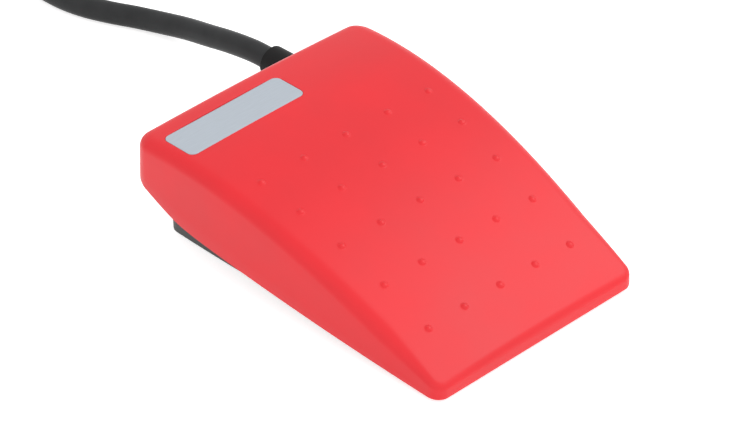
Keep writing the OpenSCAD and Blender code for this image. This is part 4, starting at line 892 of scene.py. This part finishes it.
terminalBrass = mouldedMaterial("terminalBrass", (0.68, 0.5, 0.2), 0.34, (1500, 0.15, 0.00002), (500, 0.06),
                                metallic=1.0, streak=(1, 1, 8))
coreColours = {"core_blue": (0.02, 0.1, 0.42), "core_brown": (0.12, 0.04, 0.015),
               "core_black": (0.012, 0.012, 0.013)}
coreFinish = {slot: mouldedMaterial(slot.replace("_b", "B"), colour, 0.36, (3000, 0.15, 0.00003), (260, 0.08))
              for slot, colour in coreColours.items()}
tinnedMetal = mouldedMaterial("tinnedMetal", (0.66, 0.65, 0.62), 0.38, (5200, 0.6, 0.00008), (700, 0.1),
                              metallic=1.0)

finishes = {
    redPlastic: [coverShell, gripDots, coverRibs], labelMetal: [labelPlate], basePlastic: [baseBody],
    sheathRubber: [leadTube, sheathEnd], reliefRubber: [strainRelief], footRubber: [rubberFeet],
    casePlastic: [made["switchCase"]], lidPlastic: [made["switchLid"]],
    plungerPlastic: [made["switchPlunger"]], clampPlastic: [made["cableClamp"]], tiePlastic: [coilTies],
    pinSteel: [made["hingePinLeft"], made["hingePinRight"], made["leverPin"]], springSteel: springs,
    leverSteel: [made["switchLever"]], screwSteel: [made["clampScrew"], made["switchScrews"]],
    bladeMetal: [made["contactBlade"]],
    terminalBrass: [made["terminalCommon"], made["terminalOpen"], made["terminalClosed"]],
    coreFinish["core_blue"]: [made["coreCommon"], tailPieces[2]],
    coreFinish["core_brown"]: [made["coreOpen"], tailPieces[0]],
    coreFinish["core_black"]: [made["coreClosed"], tailPieces[1]], tinnedMetal: [tinnedEnds],
}
for material, pieces in finishes.items():
    for piece in pieces:
        piece.data.materials.clear()
        piece.data.materials.append(material)

print("stage: floor, light and camera")


def seenDirectly(tree):
    # 1 for rays from the camera, off gloss and through glass, 0 for the rays that light the object
    rays = addNode(tree, "ShaderNodeLightPath")
    total = rays.outputs["Is Camera Ray"]
    for kind in ("Is Glossy Ray", "Is Transmission Ray"):
        both = addNode(tree, "ShaderNodeMath", operation="ADD", use_clamp=True)
        tree.links.new(total, both.inputs[0])
        tree.links.new(rays.outputs[kind], both.inputs[1])
        total = both.outputs[0]
    return total


ground = {"reach": 6.0, "tone": 0.9, "roughness": 0.9, "glow": 0.68, "drop": 0.00005}


def stageFloor():
    # white floor: lit by the lamps, topped up to white where it is seen
    reach = ground["reach"]
    mesh = bpy.data.meshes.new("floor")
    mesh.from_pydata([(-reach, -reach, 0), (reach, -reach, 0), (reach, reach, 0), (-reach, reach, 0)],
                     [], [(0, 1, 2, 3)])
    floor = bpy.data.objects.new("floor", mesh)
    bpy.context.scene.collection.objects.link(floor)
    material = bpy.data.materials.new("floorWhite")
    material.use_nodes = True
    tree = material.node_tree
    shader = tree.nodes["Principled BSDF"]
    shader.inputs["Base Color"].default_value = (ground["tone"],) * 3 + (1,)
    shader.inputs["Roughness"].default_value = ground["roughness"]
    shader.inputs["Specular IOR Level"].default_value = 0.0
    scale = addNode(tree, "ShaderNodeMath", operation="MULTIPLY")
    tree.links.new(seenDirectly(tree), scale.inputs[0])
    scale.inputs[1].default_value = ground["glow"]
    shader.inputs["Emission Color"].default_value = (1, 1, 1, 1)
    tree.links.new(scale.outputs[0], shader.inputs["Emission Strength"])
    mesh.materials.append(material)
    floor.location.z = -ground["drop"]


stageFloor()
light = {"worldFront": 1.14, "worldRear": 0.5, "keySize": 0.9, "keyPower": 7.0, "keyPlace": (1.1, -0.35, 1.3),
         "brightWay": (-0.5, -0.87, 0), "fadeReach": 0.6}
world = bpy.data.worlds.new("studio")
bpy.context.scene.world = world
world.use_nodes = True
worldTree = world.node_tree
background = worldTree.nodes["Background"]
facing = addNode(worldTree, "ShaderNodeTexCoord")
share = addNode(worldTree, "ShaderNodeVectorMath", operation="DOT_PRODUCT")
worldTree.links.new(facing.outputs["Generated"], share.inputs[0])
share.inputs[1].default_value = light["brightWay"]
fade = addNode(worldTree, "ShaderNodeMapRange")  # the room is brighter before the switch than behind it
worldTree.links.new(share.outputs["Value"], fade.inputs["Value"])
for key, amount in (("From Min", -light["fadeReach"]), ("From Max", light["fadeReach"]),
                    ("To Min", light["worldRear"]), ("To Max", light["worldFront"])):
    fade.inputs[key].default_value = amount
seen = addNode(worldTree, "ShaderNodeMix", data_type="FLOAT")
worldTree.links.new(seenDirectly(worldTree), seen.inputs[0])
worldTree.links.new(fade.outputs["Result"], seen.inputs[2])
seen.inputs[3].default_value = 1.0
background.inputs["Color"].default_value = (1, 1, 1, 1)
worldTree.links.new(seen.outputs[0], background.inputs["Strength"])
lamp = bpy.data.lights.new("keyLamp", "AREA")
lamp.size, lamp.energy = light["keySize"], light["keyPower"]
lampObject = bpy.data.objects.new("keyLamp", lamp)
bpy.context.scene.collection.objects.link(lampObject)
lampObject.location = light["keyPlace"]
lampObject.rotation_euler = Vector(light["keyPlace"]).to_track_quat("Z", "Y").to_euler()

# Camera: where it looks, its angles in degrees, its distance and its lens
view = {"aim": (0.0, 55.74, 16.5), "azimuth": -43.916, "elevation": 35.937, "distance": 1047.6,
        "shiftRight": -3.777, "shiftUp": -2.036, "lens": 189.3}
a, e = math.radians(view["azimuth"]), math.radians(view["elevation"])
right = np.array([math.cos(a), math.sin(a), 0])
up = np.array([-math.sin(a) * math.sin(e), math.cos(a) * math.sin(e), math.cos(e)])
back = np.array([math.sin(a) * math.cos(e), -math.cos(a) * math.cos(e), math.sin(e)])
eye = (np.array(view["aim"]) + right * view["shiftRight"] + up * view["shiftUp"]
       + back * view["distance"] - np.array([0, originY, 0])) * mm
camera = bpy.data.cameras.new("camera")
camera.lens, camera.sensor_width, camera.sensor_fit = view["lens"], 36, "HORIZONTAL"
camera.clip_start, camera.clip_end = 0.01, 50
cameraObject = bpy.data.objects.new("camera", camera)
bpy.context.scene.collection.objects.link(cameraObject)
turn = Matrix([[right[i], up[i], back[i]] for i in range(3)]).to_4x4()
cameraObject.matrix_world = Matrix.Translation(eye) @ turn
bpy.context.scene.camera = cameraObject
bpy.context.scene.view_settings.view_transform = "Standard"
